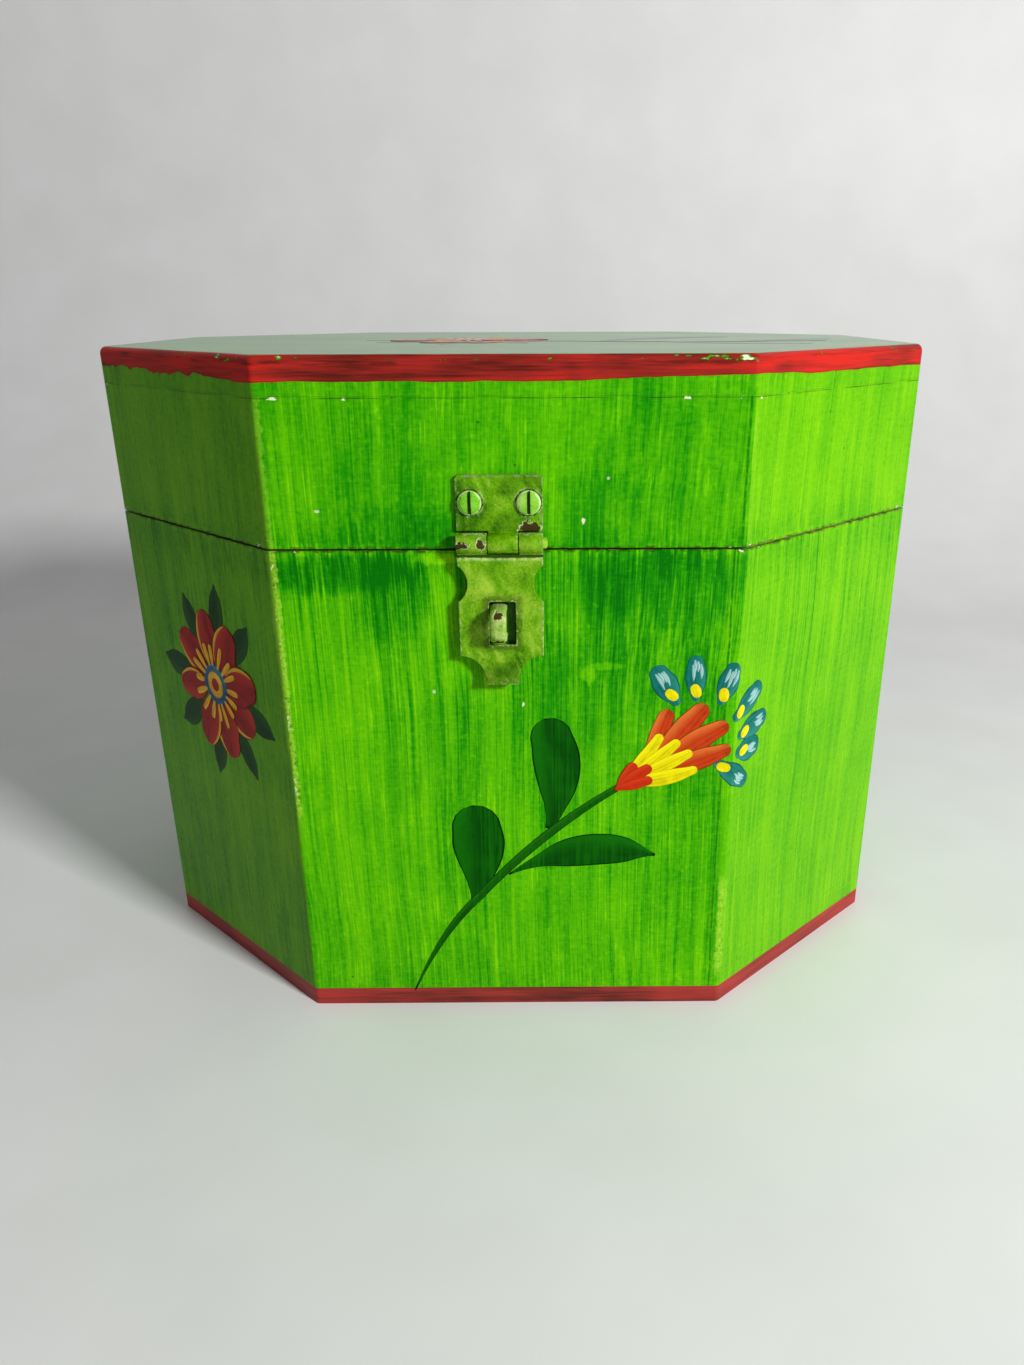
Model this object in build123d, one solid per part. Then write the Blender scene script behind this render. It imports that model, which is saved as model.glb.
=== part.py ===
from build123d import *
import os
from math import cos, degrees, sin, sqrt

# Keepsake box with eight sides, a hinged lid and a small hasp and staple.
# Millimetres. X runs to the right along the front, Y to the back and Z up.
# The origin is the middle of the base's underside.

# Plan of the box, seen from above
front_face = 120.0        # front and back faces, from corner to corner
side_face = 86.0          # left and right faces, from corner to corner
corner_cut = 57.0         # each corner is cut back this far along both sides
corner_ease = 2.2         # radius of the upright outer edges

# Boards of the body and the lid
wall = 8.0                # wall boards, mitred where they meet
base_thickness = 5.5      # base board, as large as the plan
top_thickness = 9.5       # lid's top board, as large as the plan
top_edge = 2.0            # radius of the top board's upper edge
body_rim = 136.7          # height of the body's rim above the table
lid_gap = 0.6             # open seam between the body's rim and the lid's
lid_height = 45.7         # from the lid's rim to its top

# Sheet, knuckles and pins, the same on the hasp and on both hinges
sheet = 1.1               # leaves, strap and knuckle walls
pin_radius = 1.35
pin_play = 0.05           # radial, in a knuckle that turns on its pin
pin_seat = 0.01           # radial, in a knuckle that holds its pin
knuckle_lift = 0.1        # knuckles stand this far off the wood
knuckle_gap = 0.25        # between a knuckle and the other leaf or knuckle
leaf_corner = 0.6         # a leaf's free corners are cut this far

# Slotted screws with a raised head, through a leaf into the wood
head_diameter = 6.0
head_height = 1.3
shank_diameter = 2.6
drive_width = 0.9         # slot in the head
drive_depth = 0.7
tip_cover = 1.5           # wood left in front of a screw's end
screw_play = 0.05         # radial, and past the end, in leaf and wood

# Hasp on the front: leaf on the lid, strap that hangs from it
hasp_x = -1.9             # middle of the hasp, right of the box's middle
hasp_pin_rise = 1.8       # pin's axis above the lid's rim
hasp_width = 21.5
left_knuckle = 7.6        # strap's left knuckle, seen from the front
middle_knuckle = 7.7      # leaf's knuckle; the strap's right one takes the rest
hasp_leaf_height = 16.3   # pin's axis to the leaf's top edge
hasp_screw_rise = 9.7     # pin's axis to the screws
hasp_screw_spacing = 14.6
hasp_pin_proud = 1.2      # pin stands out past the right knuckle

# Strap, down from the pin's axis
notch_top = 5.5           # round notches in the strap's sides
notch_depth = 2.4
slot_rim = 2.9            # straight side below the slot
strap_corner = 6.4        # hollow corners beside the tab
tab_length = 0.9          # straight stretch of the tab below them
slot_corner = 0.6
curl_radius = 7.0         # the tab's tip curls outwards
curl_length = 4.0
strap_swing = 2.0         # spare depth of the outline's cutting block

# Staple on the body, through the strap's slot
staple_x = -0.6           # right of the hasp's middle
staple_drop = 20.1        # pin's axis to the staple's middle
staple_height = 9.0
staple_width = 4.2
staple_strip = 1.1
staple_reach = 8.9        # how far it stands out of the wood
staple_bend = 2.2         # radius of its outer bends
slot_left = 0.4           # play between staple and slot, on each side
slot_right = 2.2
slot_above = 0.8
slot_below = 1.6
leg_seat = 0.02           # play of the staple's legs in their plate
plate_thickness = 1.0
plate_side = 2.0          # plate beside the staple
plate_corner = 1.5        # the plate's corners are cut this far
flat_head_diameter = 4.2  # countersunk screws, flush with the plate
flat_shank_diameter = 2.0
flat_screw_spacing = 15.2
flat_screw_margin = 2.9   # screw's middle to the plate's end

# Hinges on the back
hinge_inset = 22.0        # middle of each hinge, from the back face's corner
hinge_width = 21.5
hinge_middle_knuckle = 7.5
hinge_leaf_height = 15.0  # pin's axis to a leaf's free edge
hinge_screw_rise = 9.3
hinge_screw_spacing = 13.0
hinge_pin_proud = 0.7     # pin stands out past its knuckles

# Sizes that follow from the ones above
half_width = front_face / 2 + corner_cut
half_depth = side_face / 2 + corner_cut
lid_rim = body_rim + lid_gap
lid_top = lid_rim + lid_height
knuckle_radius = pin_radius + pin_play + sheet
pin_stand = knuckle_radius + knuckle_lift
leaf_start = knuckle_radius + knuckle_gap
hasp_pin_z = lid_rim + hasp_pin_rise
hinge_pin_z = (body_rim + lid_rim) / 2
hinge_x = front_face / 2 - hinge_inset
grip = wall - tip_cover
slot_top = staple_drop - staple_height / 2 - slot_above
slot_bottom = staple_drop + staple_height / 2 + slot_below
strap_straight = slot_bottom + slot_rim
strap_reach = strap_straight + strap_corner + tab_length

side_names = [
    "front", "front_right", "right", "back_right",
    "back", "back_left", "left", "front_left",
]


# Small helpers
def block(x_range, y_range, z_range):
    """Box between two values on each axis."""
    sizes = [high - low for low, high in (x_range, y_range, z_range)]
    middle = [(high + low) / 2 for low, high in (x_range, y_range, z_range)]
    return Pos(*middle) * Box(*sizes)


def rod(x_range, radius):
    """Round bar along X through the pin's axis of a hinge on the wood's face."""
    low, high = x_range
    bar = Rot(0, 90, 0) * Cylinder(radius, high - low)
    return Pos((low + high) / 2, -pin_stand, 0) * bar


def on_front(x, z):
    """Place on the front face. Seen from outside, X is right and -Y outwards."""
    return Pos(x, -half_depth, z)


def on_back(x, z):
    """Place on the back face, turned so that -Y points out of the box again."""
    return Pos(x, half_depth, z) * Rot(0, 0, 180)


# Plan and boards
def plan_points(inset=0.0):
    """Corners of the plan, from the front left one anticlockwise, drawn in by inset."""
    reach = half_depth + front_face / 2 - inset * sqrt(2)
    far_x, far_y = half_width - inset, half_depth - inset
    near_x, near_y = reach - far_y, reach - far_x
    return [
        (-near_x, -far_y), (near_x, -far_y), (far_x, -near_y), (far_x, near_y),
        (near_x, far_y), (-near_x, far_y), (-far_x, near_y), (-far_x, -near_y),
    ]


def board(low, high):
    """Board of the whole plan with eased upright edges."""
    plan = make_face(Polyline(*plan_points(), close=True))
    eased = fillet(plan.vertices(), corner_ease)
    return Pos(0, 0, low) * extrude(eased, high - low)


def wall_boards(low, high):
    """The eight mitred wall boards between two heights, by side."""
    outer, inner = plan_points(), plan_points(wall)
    eased = board(low, high)
    boards = {}
    for i, side in enumerate(side_names):
        j = (i + 1) % len(side_names)
        ends = Polyline(outer[i], outer[j], inner[j], inner[i], close=True)
        prism = Pos(0, 0, low) * extrude(make_face(ends), high - low)
        boards[side] = prism & eased
    return boards


# Screws and their holes, with the leaf's or plate's face at zero and the head along +Z
def upright(radius, low, high):
    """Round bar along Z between two heights."""
    return Pos(0, 0, (low + high) / 2) * Cylinder(radius, high - low)


def raised_screw():
    """Slotted screw whose head stands on its leaf."""
    screw = upright(shank_diameter / 2, -sheet - grip, 0)
    screw += upright(head_diameter / 2, 0, head_height)
    across = (-drive_width / 2, drive_width / 2)
    along = (-head_diameter, head_diameter)
    return screw - block(across, along, (head_height - drive_depth, head_height))


def raised_screw_hole():
    """Hole of a raised screw, through its leaf and into the wood."""
    return upright(shank_diameter / 2 + screw_play, -sheet - grip - screw_play, 0)


def flat_screw(play=0.0):
    """Countersunk screw of the staple's plate, or its hole when grown by a play."""
    head, shank = flat_head_diameter / 2 + play, flat_shank_diameter / 2 + play
    depth, length = plate_thickness, plate_thickness + grip + play
    side = Polyline(
        (0, 0), (head, 0), (shank, -depth), (shank, -length), (0, -length), close=True,
    )
    return revolve(Plane.XZ * make_face(side), axis=Axis.Z)


def pointing_out(x, stand, z):
    """Place for a screw on a leaf: its +Z turned to -Y, its slot upright."""
    return Pos(x, -stand, z) * Rot(90, 0, 0)


# Leaves, in the place's own axes: pin along X at height zero, wood at Y zero
def leaf(width, height, own_spans, bore, screw_holes):
    """Leaf above the pin, with knuckles over its own spans of the pin's length."""
    plate = block((-width / 2, width / 2), (-sheet, 0), (leaf_start, height))
    free = plate.edges().filter_by(Axis.Y).group_by(Axis.Z)[-1]
    plate = chamfer(free, leaf_corner)
    for span in own_spans:
        plate += block(span, (-sheet, 0), (0, leaf_start))
        plate += rod(span, knuckle_radius)
    for span in own_spans:
        plate -= rod(span, bore)
    for hole in screw_holes:
        plate -= hole
    return plate


# Hasp
hasp_left, hasp_right = -hasp_width / 2, hasp_width / 2
leaf_span = (hasp_left + left_knuckle + knuckle_gap, hasp_left + left_knuckle + middle_knuckle)
strap_spans = [
    (hasp_left, hasp_left + left_knuckle),
    (leaf_span[1] + knuckle_gap, hasp_right),
]
hasp_screws_at = [
    pointing_out(side * hasp_screw_spacing / 2, sheet, hasp_screw_rise)
    for side in (-1, 1)
]


def strap_outline():
    """The strap's outline on Plane.XZ, without its slot."""
    half, tab = hasp_width / 2, hasp_width / 2 - strap_corner
    corner_end = strap_straight + strap_corner
    right = [
        Line((half, 0), (half, -notch_top)),
        SagittaArc((half, -notch_top), (half, -slot_top), -notch_depth),
        Line((half, -slot_top), (half, -strap_straight)),
        CenterArc((half, -corner_end), strap_corner, 90, 90),
        Line((tab, -corner_end), (tab, -strap_reach)),
    ]
    left = [mirror(edge, about=Plane.YZ) for edge in right]
    ends = [Line((-half, 0), (half, 0)), Line((-tab, -strap_reach), (tab, -strap_reach))]
    return make_face(Curve() + right + left + ends)


def strap_slot():
    """The slot that the staple passes through, on Plane.XZ."""
    left = staple_x - staple_width / 2 - slot_left
    right = staple_x + staple_width / 2 + slot_right
    slot = RectangleRounded(right - left, slot_bottom - slot_top, slot_corner)
    return Pos((left + right) / 2, -(slot_top + slot_bottom) / 2) * slot


def hasp_strap():
    """Strap with two knuckles, notched sides, a slot and a curled tab."""
    bend = curl_length / curl_radius
    straight = strap_reach - curl_radius * sin(bend)
    curl = JernArc((0, -straight), (0, -1), curl_radius, -degrees(bend) * 1.1)
    section = trace(Line((0, 0), (0, -straight)) + curl, sheet)
    sheet_form = extrude(Plane.YZ * section, hasp_width / 2, both=True)
    depth = curl_radius * (1 - cos(bend)) + strap_swing
    flat_form = extrude(Plane.XZ * (strap_outline() - strap_slot()), depth, both=True)
    strap = Pos(0, -pin_stand, 0) * (sheet_form & flat_form)
    clear = (leaf_span[0] - knuckle_gap, leaf_span[1] + knuckle_gap)
    strap -= block(clear, (-pin_stand - sheet, -pin_stand + sheet), (-leaf_start, sheet))
    for span in strap_spans:
        strap += rod(span, knuckle_radius)
    return strap - rod((hasp_left, hasp_right), pin_radius + pin_play)


def hasp():
    """Leaf, pin and screws of the hasp on the lid, and the strap."""
    place = on_front(hasp_x, hasp_pin_z)
    bore = pin_radius + pin_seat
    holes = [at * raised_screw_hole() for at in hasp_screws_at]
    leaf_part = leaf(hasp_width, hasp_leaf_height, [leaf_span], bore, holes)
    return {
        "hasp_leaf": place * leaf_part,
        "hasp_pin": place * rod((hasp_left, hasp_right + hasp_pin_proud), pin_radius),
        "hasp_leaf_screws": [place * at * raised_screw() for at in hasp_screws_at],
        "hasp_strap": place * hasp_strap(),
    }


# Staple, with its middle at the origin and the wood's face at Y zero
plate_height = flat_screw_spacing + 2 * flat_screw_margin
staple_place = on_front(hasp_x + staple_x, hasp_pin_z - staple_drop)
staple_screws_at = [
    pointing_out(0, plate_thickness, side * flat_screw_spacing / 2) for side in (-1, 1)
]


def staple_loop(strip, width):
    """Bent strip, of a given thickness and width."""
    far = -staple_reach + staple_strip / 2
    high = staple_height / 2 - staple_strip / 2
    bend = staple_bend - staple_strip / 2
    route = FilletPolyline((0, high), (far, high), (far, -high), (0, -high), radius=bend)
    return extrude(Plane.YZ * trace(route, strip), width / 2, both=True)


def staple():
    """Plate, loop and two flush screws of the staple on the body."""
    width = staple_width + 2 * plate_side
    face = chamfer(Rectangle(width, plate_height).vertices(), plate_corner)
    plate = extrude(Plane.XZ * face, plate_thickness)
    plate -= staple_loop(staple_strip + 2 * leg_seat, staple_width + 2 * leg_seat)
    for at in staple_screws_at:
        plate -= at * flat_screw(screw_play)
    return {
        "staple_plate": staple_place * plate,
        "staple_loop": staple_place * staple_loop(staple_strip, staple_width),
        "staple_screws": [staple_place * at * flat_screw() for at in staple_screws_at],
    }


# Hinges
hinge_spans = [
    (-hinge_width / 2, -hinge_middle_knuckle / 2 - knuckle_gap),
    (-hinge_middle_knuckle / 2, hinge_middle_knuckle / 2),
    (hinge_middle_knuckle / 2 + knuckle_gap, hinge_width / 2),
]
hinge_screws_at = [
    pointing_out(side * hinge_screw_spacing / 2, sheet, hinge_screw_rise)
    for side in (-1, 1)
]
upside_down = Rot(0, 180, 0)
hinge_places = {
    "left": on_back(-hinge_x, hinge_pin_z),
    "right": on_back(hinge_x, hinge_pin_z),
}


def hinge_leaf(own_spans, bore):
    """One leaf of a hinge, above its pin."""
    holes = [at * raised_screw_hole() for at in hinge_screws_at]
    return leaf(hinge_width, hinge_leaf_height, own_spans, bore, holes)


def hinges():
    """Leaves, pins and screws of both hinges."""
    end = hinge_width / 2 + hinge_pin_proud
    lid_leaf = hinge_leaf([hinge_spans[1]], pin_radius + pin_play)
    body_leaf = upside_down * hinge_leaf(hinge_spans[::2], pin_radius + pin_seat)
    nodes = {"hinge_lid_screws": [], "hinge_body_screws": []}
    for side, place in hinge_places.items():
        nodes["hinge_lid_leaf_" + side] = place * lid_leaf
        nodes["hinge_body_leaf_" + side] = place * body_leaf
        nodes["hinge_pin_" + side] = place * rod((-end, end), pin_radius)
        for at in hinge_screws_at:
            screw = at * raised_screw()
            nodes["hinge_lid_screws"].append(place * screw)
            nodes["hinge_body_screws"].append(place * upside_down * screw)
    return nodes


# Boards with the holes that the screws need
def body_boards():
    """Base board and the body's walls."""
    walls = wall_boards(base_thickness, body_rim)
    for at in staple_screws_at:
        walls["front"] -= staple_place * at * flat_screw(screw_play)
    for place in hinge_places.values():
        for at in hinge_screws_at:
            walls["back"] -= place * upside_down * at * raised_screw_hole()
    base = board(0, base_thickness)
    return {"base_board": base} | {"body_wall_" + side: w for side, w in walls.items()}


def lid_boards():
    """The lid's walls and top board."""
    walls = wall_boards(lid_rim, lid_top - top_thickness)
    for at in hasp_screws_at:
        walls["front"] -= on_front(hasp_x, hasp_pin_z) * at * raised_screw_hole()
    for place in hinge_places.values():
        for at in hinge_screws_at:
            walls["back"] -= place * at * raised_screw_hole()
    top = board(lid_top - top_thickness, lid_top)
    top = fillet(top.edges().group_by(Axis.Z)[-1], top_edge)
    return {"lid_board": top} | {"lid_wall_" + side: w for side, w in walls.items()}


nodes = body_boards() | lid_boards() | hasp() | staple() | hinges()
os.makedirs("parts", exist_ok=True)
for name, shape in nodes.items():
    solids = shape if isinstance(shape, list) else [shape]
    group = Compound(label=name, children=[solid.solid() for solid in solids])
    export_step(group, f"parts/{name}.step")
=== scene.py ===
"""Looks of the keepsake box: brushed green paint, red edges, painted flowers and a small hasp."""

import logging
import math
import random
from collections.abc import Callable, Sequence
from dataclasses import dataclass, field
from enum import Enum

import bmesh
import bpy
from mathutils import Euler, Matrix, Vector


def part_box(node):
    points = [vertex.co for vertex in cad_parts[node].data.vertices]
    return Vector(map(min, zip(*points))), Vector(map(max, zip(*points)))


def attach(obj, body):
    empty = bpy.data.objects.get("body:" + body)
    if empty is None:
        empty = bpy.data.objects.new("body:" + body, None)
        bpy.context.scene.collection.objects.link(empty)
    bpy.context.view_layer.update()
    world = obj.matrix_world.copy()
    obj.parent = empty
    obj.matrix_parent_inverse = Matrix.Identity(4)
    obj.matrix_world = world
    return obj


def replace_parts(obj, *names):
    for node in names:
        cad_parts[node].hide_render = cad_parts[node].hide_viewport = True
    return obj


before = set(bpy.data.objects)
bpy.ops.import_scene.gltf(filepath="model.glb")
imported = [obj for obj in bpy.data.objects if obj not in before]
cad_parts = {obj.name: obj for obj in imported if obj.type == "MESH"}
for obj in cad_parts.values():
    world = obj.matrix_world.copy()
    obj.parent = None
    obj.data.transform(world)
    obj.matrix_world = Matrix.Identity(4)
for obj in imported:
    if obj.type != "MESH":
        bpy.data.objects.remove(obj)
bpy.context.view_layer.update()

LOG = logging.getLogger("keepsake_box")
MM = 0.001

Point = tuple[float, float]
Colour = tuple[float, float, float, float]
Value = "Wire | float | Sequence[float]"


def srgb(red: int, green: int, blue: int) -> Colour:
    """Colour for a shader, from the three values of a paint chart.

    Args:
        red, green, blue: 0 to 255, as seen on a screen.

    Returns:
        The linear colour, with full opacity.
    """
    shares = (level / 255 for level in (red, green, blue))
    linear = (s / 12.92 if s <= 0.04045 else ((s + 0.055) / 1.055) ** 2.4 for s in shares)
    return (*linear, 1.0)


def summing(operation: str, swapped: bool = False) -> "Callable[..., Wire]":
    """Makes a method of Wire that adds one Math node.

    Args:
        operation: the Math node's operation.
        swapped: whether the other value comes first.

    Returns:
        The method, which hands back the node's result.
    """
    def method(self: "Wire", other: Value = 0.0) -> "Wire":
        """The node's result for this wire and another value."""
        first, second = (other, self) if swapped else (self, other)
        return self.recipe.node("ShaderNodeMath", {"operation": operation}, {0: first, 1: second})

    return method


class Wire:
    """A socket in a finish, with shader sums written as plain sums."""

    __add__, __radd__ = summing("ADD"), summing("ADD", swapped=True)
    __sub__, __rsub__ = summing("SUBTRACT"), summing("SUBTRACT", swapped=True)
    __mul__, __abs__ = summing("MULTIPLY"), summing("ABSOLUTE")
    least, most = summing("MINIMUM"), summing("MAXIMUM")

    def __init__(self, recipe: "Mixer", socket: bpy.types.NodeSocket) -> None:
        """Holds the socket and the recipe that it belongs to."""
        self.recipe, self.socket = recipe, socket

    def rise(self, low: float, high: float) -> "Wire":
        """Soft step: 0 below low, 1 above high, or the other way round if high is the lower.

        Args:
            low: value at which the step gives 0.
            high: value at which it gives 1.

        Returns:
            The step, from 0 to 1.
        """
        start, end, first, last = (low, high, 0.0, 1.0) if low < high else (high, low, 1.0, 0.0)
        return self.recipe.node(
            "ShaderNodeMapRange",
            {"interpolation_type": "SMOOTHSTEP"},
            {"Value": self, "From Min": start, "From Max": end, "To Min": first, "To Max": last},
        )


class Mixer:
    """The nodes of one tree."""

    def __init__(self, tree: bpy.types.NodeTree) -> None:
        """Works on a node tree."""
        self.tree = tree

    def node(
        self,
        kind: str,
        settings: dict[str, object] | None = None,
        inputs: dict[int | str, Value] | None = None,
        output: int | str = 0,
    ) -> Wire:
        """Adds one node.

        Args:
            kind: the node's type.
            settings: the node's own properties.
            inputs: values or wires of its sockets, by name or number.
            output: the socket that is handed back.

        Returns:
            That output.
        """
        made = self.tree.nodes.new(kind)
        for name, value in (settings or {}).items():
            setattr(made, name, value)
        for name, value in (inputs or {}).items():
            self.feed(made.inputs[name], value)
        return Wire(self, made.outputs[output])

    def feed(self, socket: bpy.types.NodeSocket, value: Value) -> None:
        """Links a wire to a socket, or sets the socket's own value."""
        if isinstance(value, Wire):
            self.tree.links.new(value.socket, socket)
        else:
            socket.default_value = value

    def vector(self, *parts: Value) -> Wire:
        """Three numbers as one vector."""
        return self.node("ShaderNodeCombineXYZ", None, dict(enumerate(parts)))

    def split(self, vector: Wire, count: int = 3) -> list[Wire]:
        """The first numbers of a vector, a wire for each."""
        return [self.node("ShaderNodeSeparateXYZ", None, {0: vector}, way) for way in range(count)]

    def place(self) -> list[Wire]:
        """Where a point lies on the object, in millimetres: x, y and z."""
        return [way * (1 / MM) for way in self.split(self.node("ShaderNodeTexCoord", output="Object"))]

    def length(self, across: Wire, up: Wire) -> Wire:
        """How long the way across and up is."""
        way = self.vector(across, up, 0.0)
        return self.node("ShaderNodeVectorMath", {"operation": "LENGTH"}, {0: way}, "Value")

    def noise(
        self, spot: Wire | Sequence[Value], detail: float = 2.0, scale: float = 1.0, warp: float = 0.0
    ) -> Wire:
        """Cloudy noise.

        Args:
            spot: where it is read, as a vector or as its three numbers.
            detail: how many finer layers.
            scale: how many lumps to a unit of spot.
            warp: how much the noise is bent.

        Returns:
            The noise, less its mean: mostly from -0.25 to 0.25.
        """
        vector = spot if isinstance(spot, Wire) else self.vector(*spot)
        inputs = {"Vector": vector, "Scale": scale, "Detail": detail, "Distortion": warp}
        return self.node("ShaderNodeTexNoise", None, inputs) - 0.5

    def specks(self, spot: Wire, scale: float, radius: float, share: float) -> Wire:
        """Scattered dots of uneven size.

        Args:
            spot: where they are read.
            scale: how many cells to a unit of spot.
            radius: size of a dot against its cell.
            share: how many of the cells have one, from 0 to 1.

        Returns:
            1 inside a dot, 0 outside.
        """
        inputs = {"Vector": spot, "Scale": scale, "Randomness": 1.0}
        near = self.node("ShaderNodeTexVoronoi", None, inputs, "Distance")
        shade = self.node("ShaderNodeTexVoronoi", None, inputs, "Color")
        chance = self.node("ShaderNodeSeparateColor", None, {0: shade})
        return near.rise(radius, radius * 0.6) * chance.rise(share, share - 0.02)

    def mix(self, share: Value, first: Value, second: Value) -> Wire:
        """Blends two colours, with as much of the second as share says, from 0 to 1."""
        return self.node("ShaderNodeMix", {"data_type": "RGBA"}, {0: share, 6: first, 7: second}, 2)

    def ramp(self, share: Wire, *stops: tuple[float, Colour]) -> Wire:
        """Colour by a number.

        Args:
            share: the number, from 0 to 1.
            stops: places from 0 to 1 and their colours, in order.

        Returns:
            The colour.
        """
        colour = self.node("ShaderNodeValToRGB", None, {0: share})
        elements = colour.socket.node.color_ramp.elements
        for number, (place, tint) in enumerate(stops):
            stop = elements[number] if number < len(elements) else elements.new(place)
            stop.position, stop.color = place, tint
        return colour


class Recipe(Mixer):
    """The nodes of one finish, with a colour that is laid down coat by coat."""

    def __init__(self, name: str, gloss: float = 0.5) -> None:
        """Starts a material with a bare shader.

        Args:
            name: the material's name.
            gloss: specular level, the same all over.
        """
        self.material = bpy.data.materials.new(name)
        self.material.use_nodes = True
        super().__init__(self.material.node_tree)
        self.tree.nodes.clear()
        self.shader = self.tree.nodes.new("ShaderNodeBsdfPrincipled")
        self.shader.inputs["Specular IOR Level"].default_value = gloss
        self.colour: Value = (0.0, 0.0, 0.0, 1.0)
        output = self.tree.nodes.new("ShaderNodeOutputMaterial")
        self.tree.links.new(self.shader.outputs[0], output.inputs["Surface"])

    def lay(self, tint: Value, share: Value) -> None:
        """Lays a tint over the colour so far, as much as share says, from 0 to 1."""
        self.colour = self.mix(share, self.colour, tint)

    def finish(
        self, roughness: Value, height: Wire | None = None, depth: float = 0.10, varnish: Value = 0.0
    ) -> bpy.types.Material:
        """Feeds the shader.

        Args:
            roughness: roughness.
            height: the relief, about 1 from low to high, or None for a smooth face.
            depth: how deep the relief is, in millimetres.
            varnish: how much clear coat lies on top, from 0 to 1.

        Returns:
            The material.
        """
        inputs = {"Base Color": self.colour, "Roughness": roughness, "Coat Weight": varnish,
                  "Coat Roughness": 0.22}
        if height is not None:
            relief = {"Height": height, "Distance": depth * MM}
            inputs["Normal"] = self.node("ShaderNodeBump", None, relief)
        for name, value in inputs.items():
            self.feed(self.shader.inputs[name], value)
        return self.material


class Side(Enum):
    """The eight sides of the box, with the angle that each is turned about the upright."""

    FRONT = 0
    FRONT_RIGHT = 45
    RIGHT = 90
    BACK_RIGHT = 135
    BACK = 180
    BACK_LEFT = 225
    LEFT = 270
    FRONT_LEFT = 315

    @property
    def is_corner(self) -> bool:
        """Whether this side is one of the four short ones across a corner."""
        return self.value % 90 != 0


@dataclass(frozen=True)
class Plan:
    """The box seen from above, in millimetres.

    Attributes:
        half_width: middle to the right side.
        half_depth: middle to the front.
        corner_cut: how much each corner loses along both sides.
    """

    half_width: float
    half_depth: float
    corner_cut: float = 57.0

    def reach(self, side: Side) -> float:
        """Distance from the middle to a side's painted face."""
        if side.is_corner:
            return (self.half_width + self.half_depth - self.corner_cut) / math.sqrt(2)
        return self.half_depth if side.value % 180 == 0 else self.half_width

    def half_length(self, side: Side) -> float:
        """Half the length of a side's painted face."""
        if side.is_corner:
            return self.corner_cut / math.sqrt(2)
        return (self.half_width if side.value % 180 == 0 else self.half_depth) - self.corner_cut

    def shift(self, side: Side) -> float:
        """How far along a side its middle lies from the point nearest to the box's middle."""
        if not side.is_corner:
            return 0.0
        turn = math.radians(side.value)
        x = math.copysign(self.half_width - self.corner_cut / 2, math.sin(turn))
        y = math.copysign(self.half_depth - self.corner_cut / 2, -math.cos(turn))
        return x * math.cos(turn) + y * math.sin(turn)

    def inset(self, x: Wire, y: Wire) -> Wire:
        """How far in from the box's outline a point lies."""
        corner = (abs(x) + abs(y)) * math.sqrt(0.5) - self.reach(Side.FRONT_LEFT)
        outside = (abs(x) - self.half_width).most(abs(y) - self.half_depth)
        return 0.0 - outside.most(corner)

    @staticmethod
    def measured() -> "Plan":
        """The plan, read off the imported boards."""
        low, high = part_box("base_board")
        return Plan(half_width=high.x / MM, half_depth=-low.y / MM)


@dataclass(frozen=True)
class Timber:
    """Bare pale wood, as the inside of the box shows it."""

    pale: Colour = srgb(201, 168, 122)
    dark: Colour = srgb(164, 124, 80)

    def colour(self, recipe: Recipe, along: Wire, across: Wire, through: Wire) -> tuple[Wire, Wire]:
        """Colour and grain.

        Args:
            recipe: the finish that gets the wood.
            along: place along the grain, in millimetres.
            across, through: the two places across it.

        Returns:
            The wood's colour and its grain as a height.
        """
        rings = recipe.noise((along * 0.012, across * 0.3, through * 0.3), 3.0, warp=0.6)
        pores = recipe.noise((along * 0.05, across * 2.6, through * 2.6))
        tone = rings * 1.5 + pores * 0.9 + 0.5
        return recipe.ramp(tone, (0.2, self.dark), (0.75, self.pale)), pores


@dataclass(frozen=True)
class Patch:
    """A place that is painted darker or lighter, in millimetres.

    Attributes:
        along, height: its middle on the upright face.
        length, rise: half its size along the face and upwards.
        tone: how much darker it is, or lighter if below 0.
    """

    along: float
    height: float
    length: float
    rise: float
    tone: float

    def shade(self, recipe: Recipe, along: Wire, z: Wire, ragged: Wire) -> Wire:
        """How much darker each point is.

        Args:
            recipe: the finish.
            along, z: place on the face.
            ragged: noise that frays the patch's ends.

        Returns:
            The tone to take away.
        """
        across = (along - self.along) * (1 / self.length)
        upward = (z - self.height) * (1 / self.rise) + ragged * 1.7
        return recipe.length(across, upward).rise(1.1, 0.6) * self.tone


@dataclass(frozen=True)
class EdgeWearAndHighlight:
    """Wear of an upright edge, and its pale line, which is partly painted highlight.

    Attributes:
        amount: from 0 to 1.
        height: where up the edge most paint is gone, in millimetres.
        rise: half the length of that place.
    """

    amount: float = 0.2
    height: float = 40.0
    rise: float = 25.0


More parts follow.
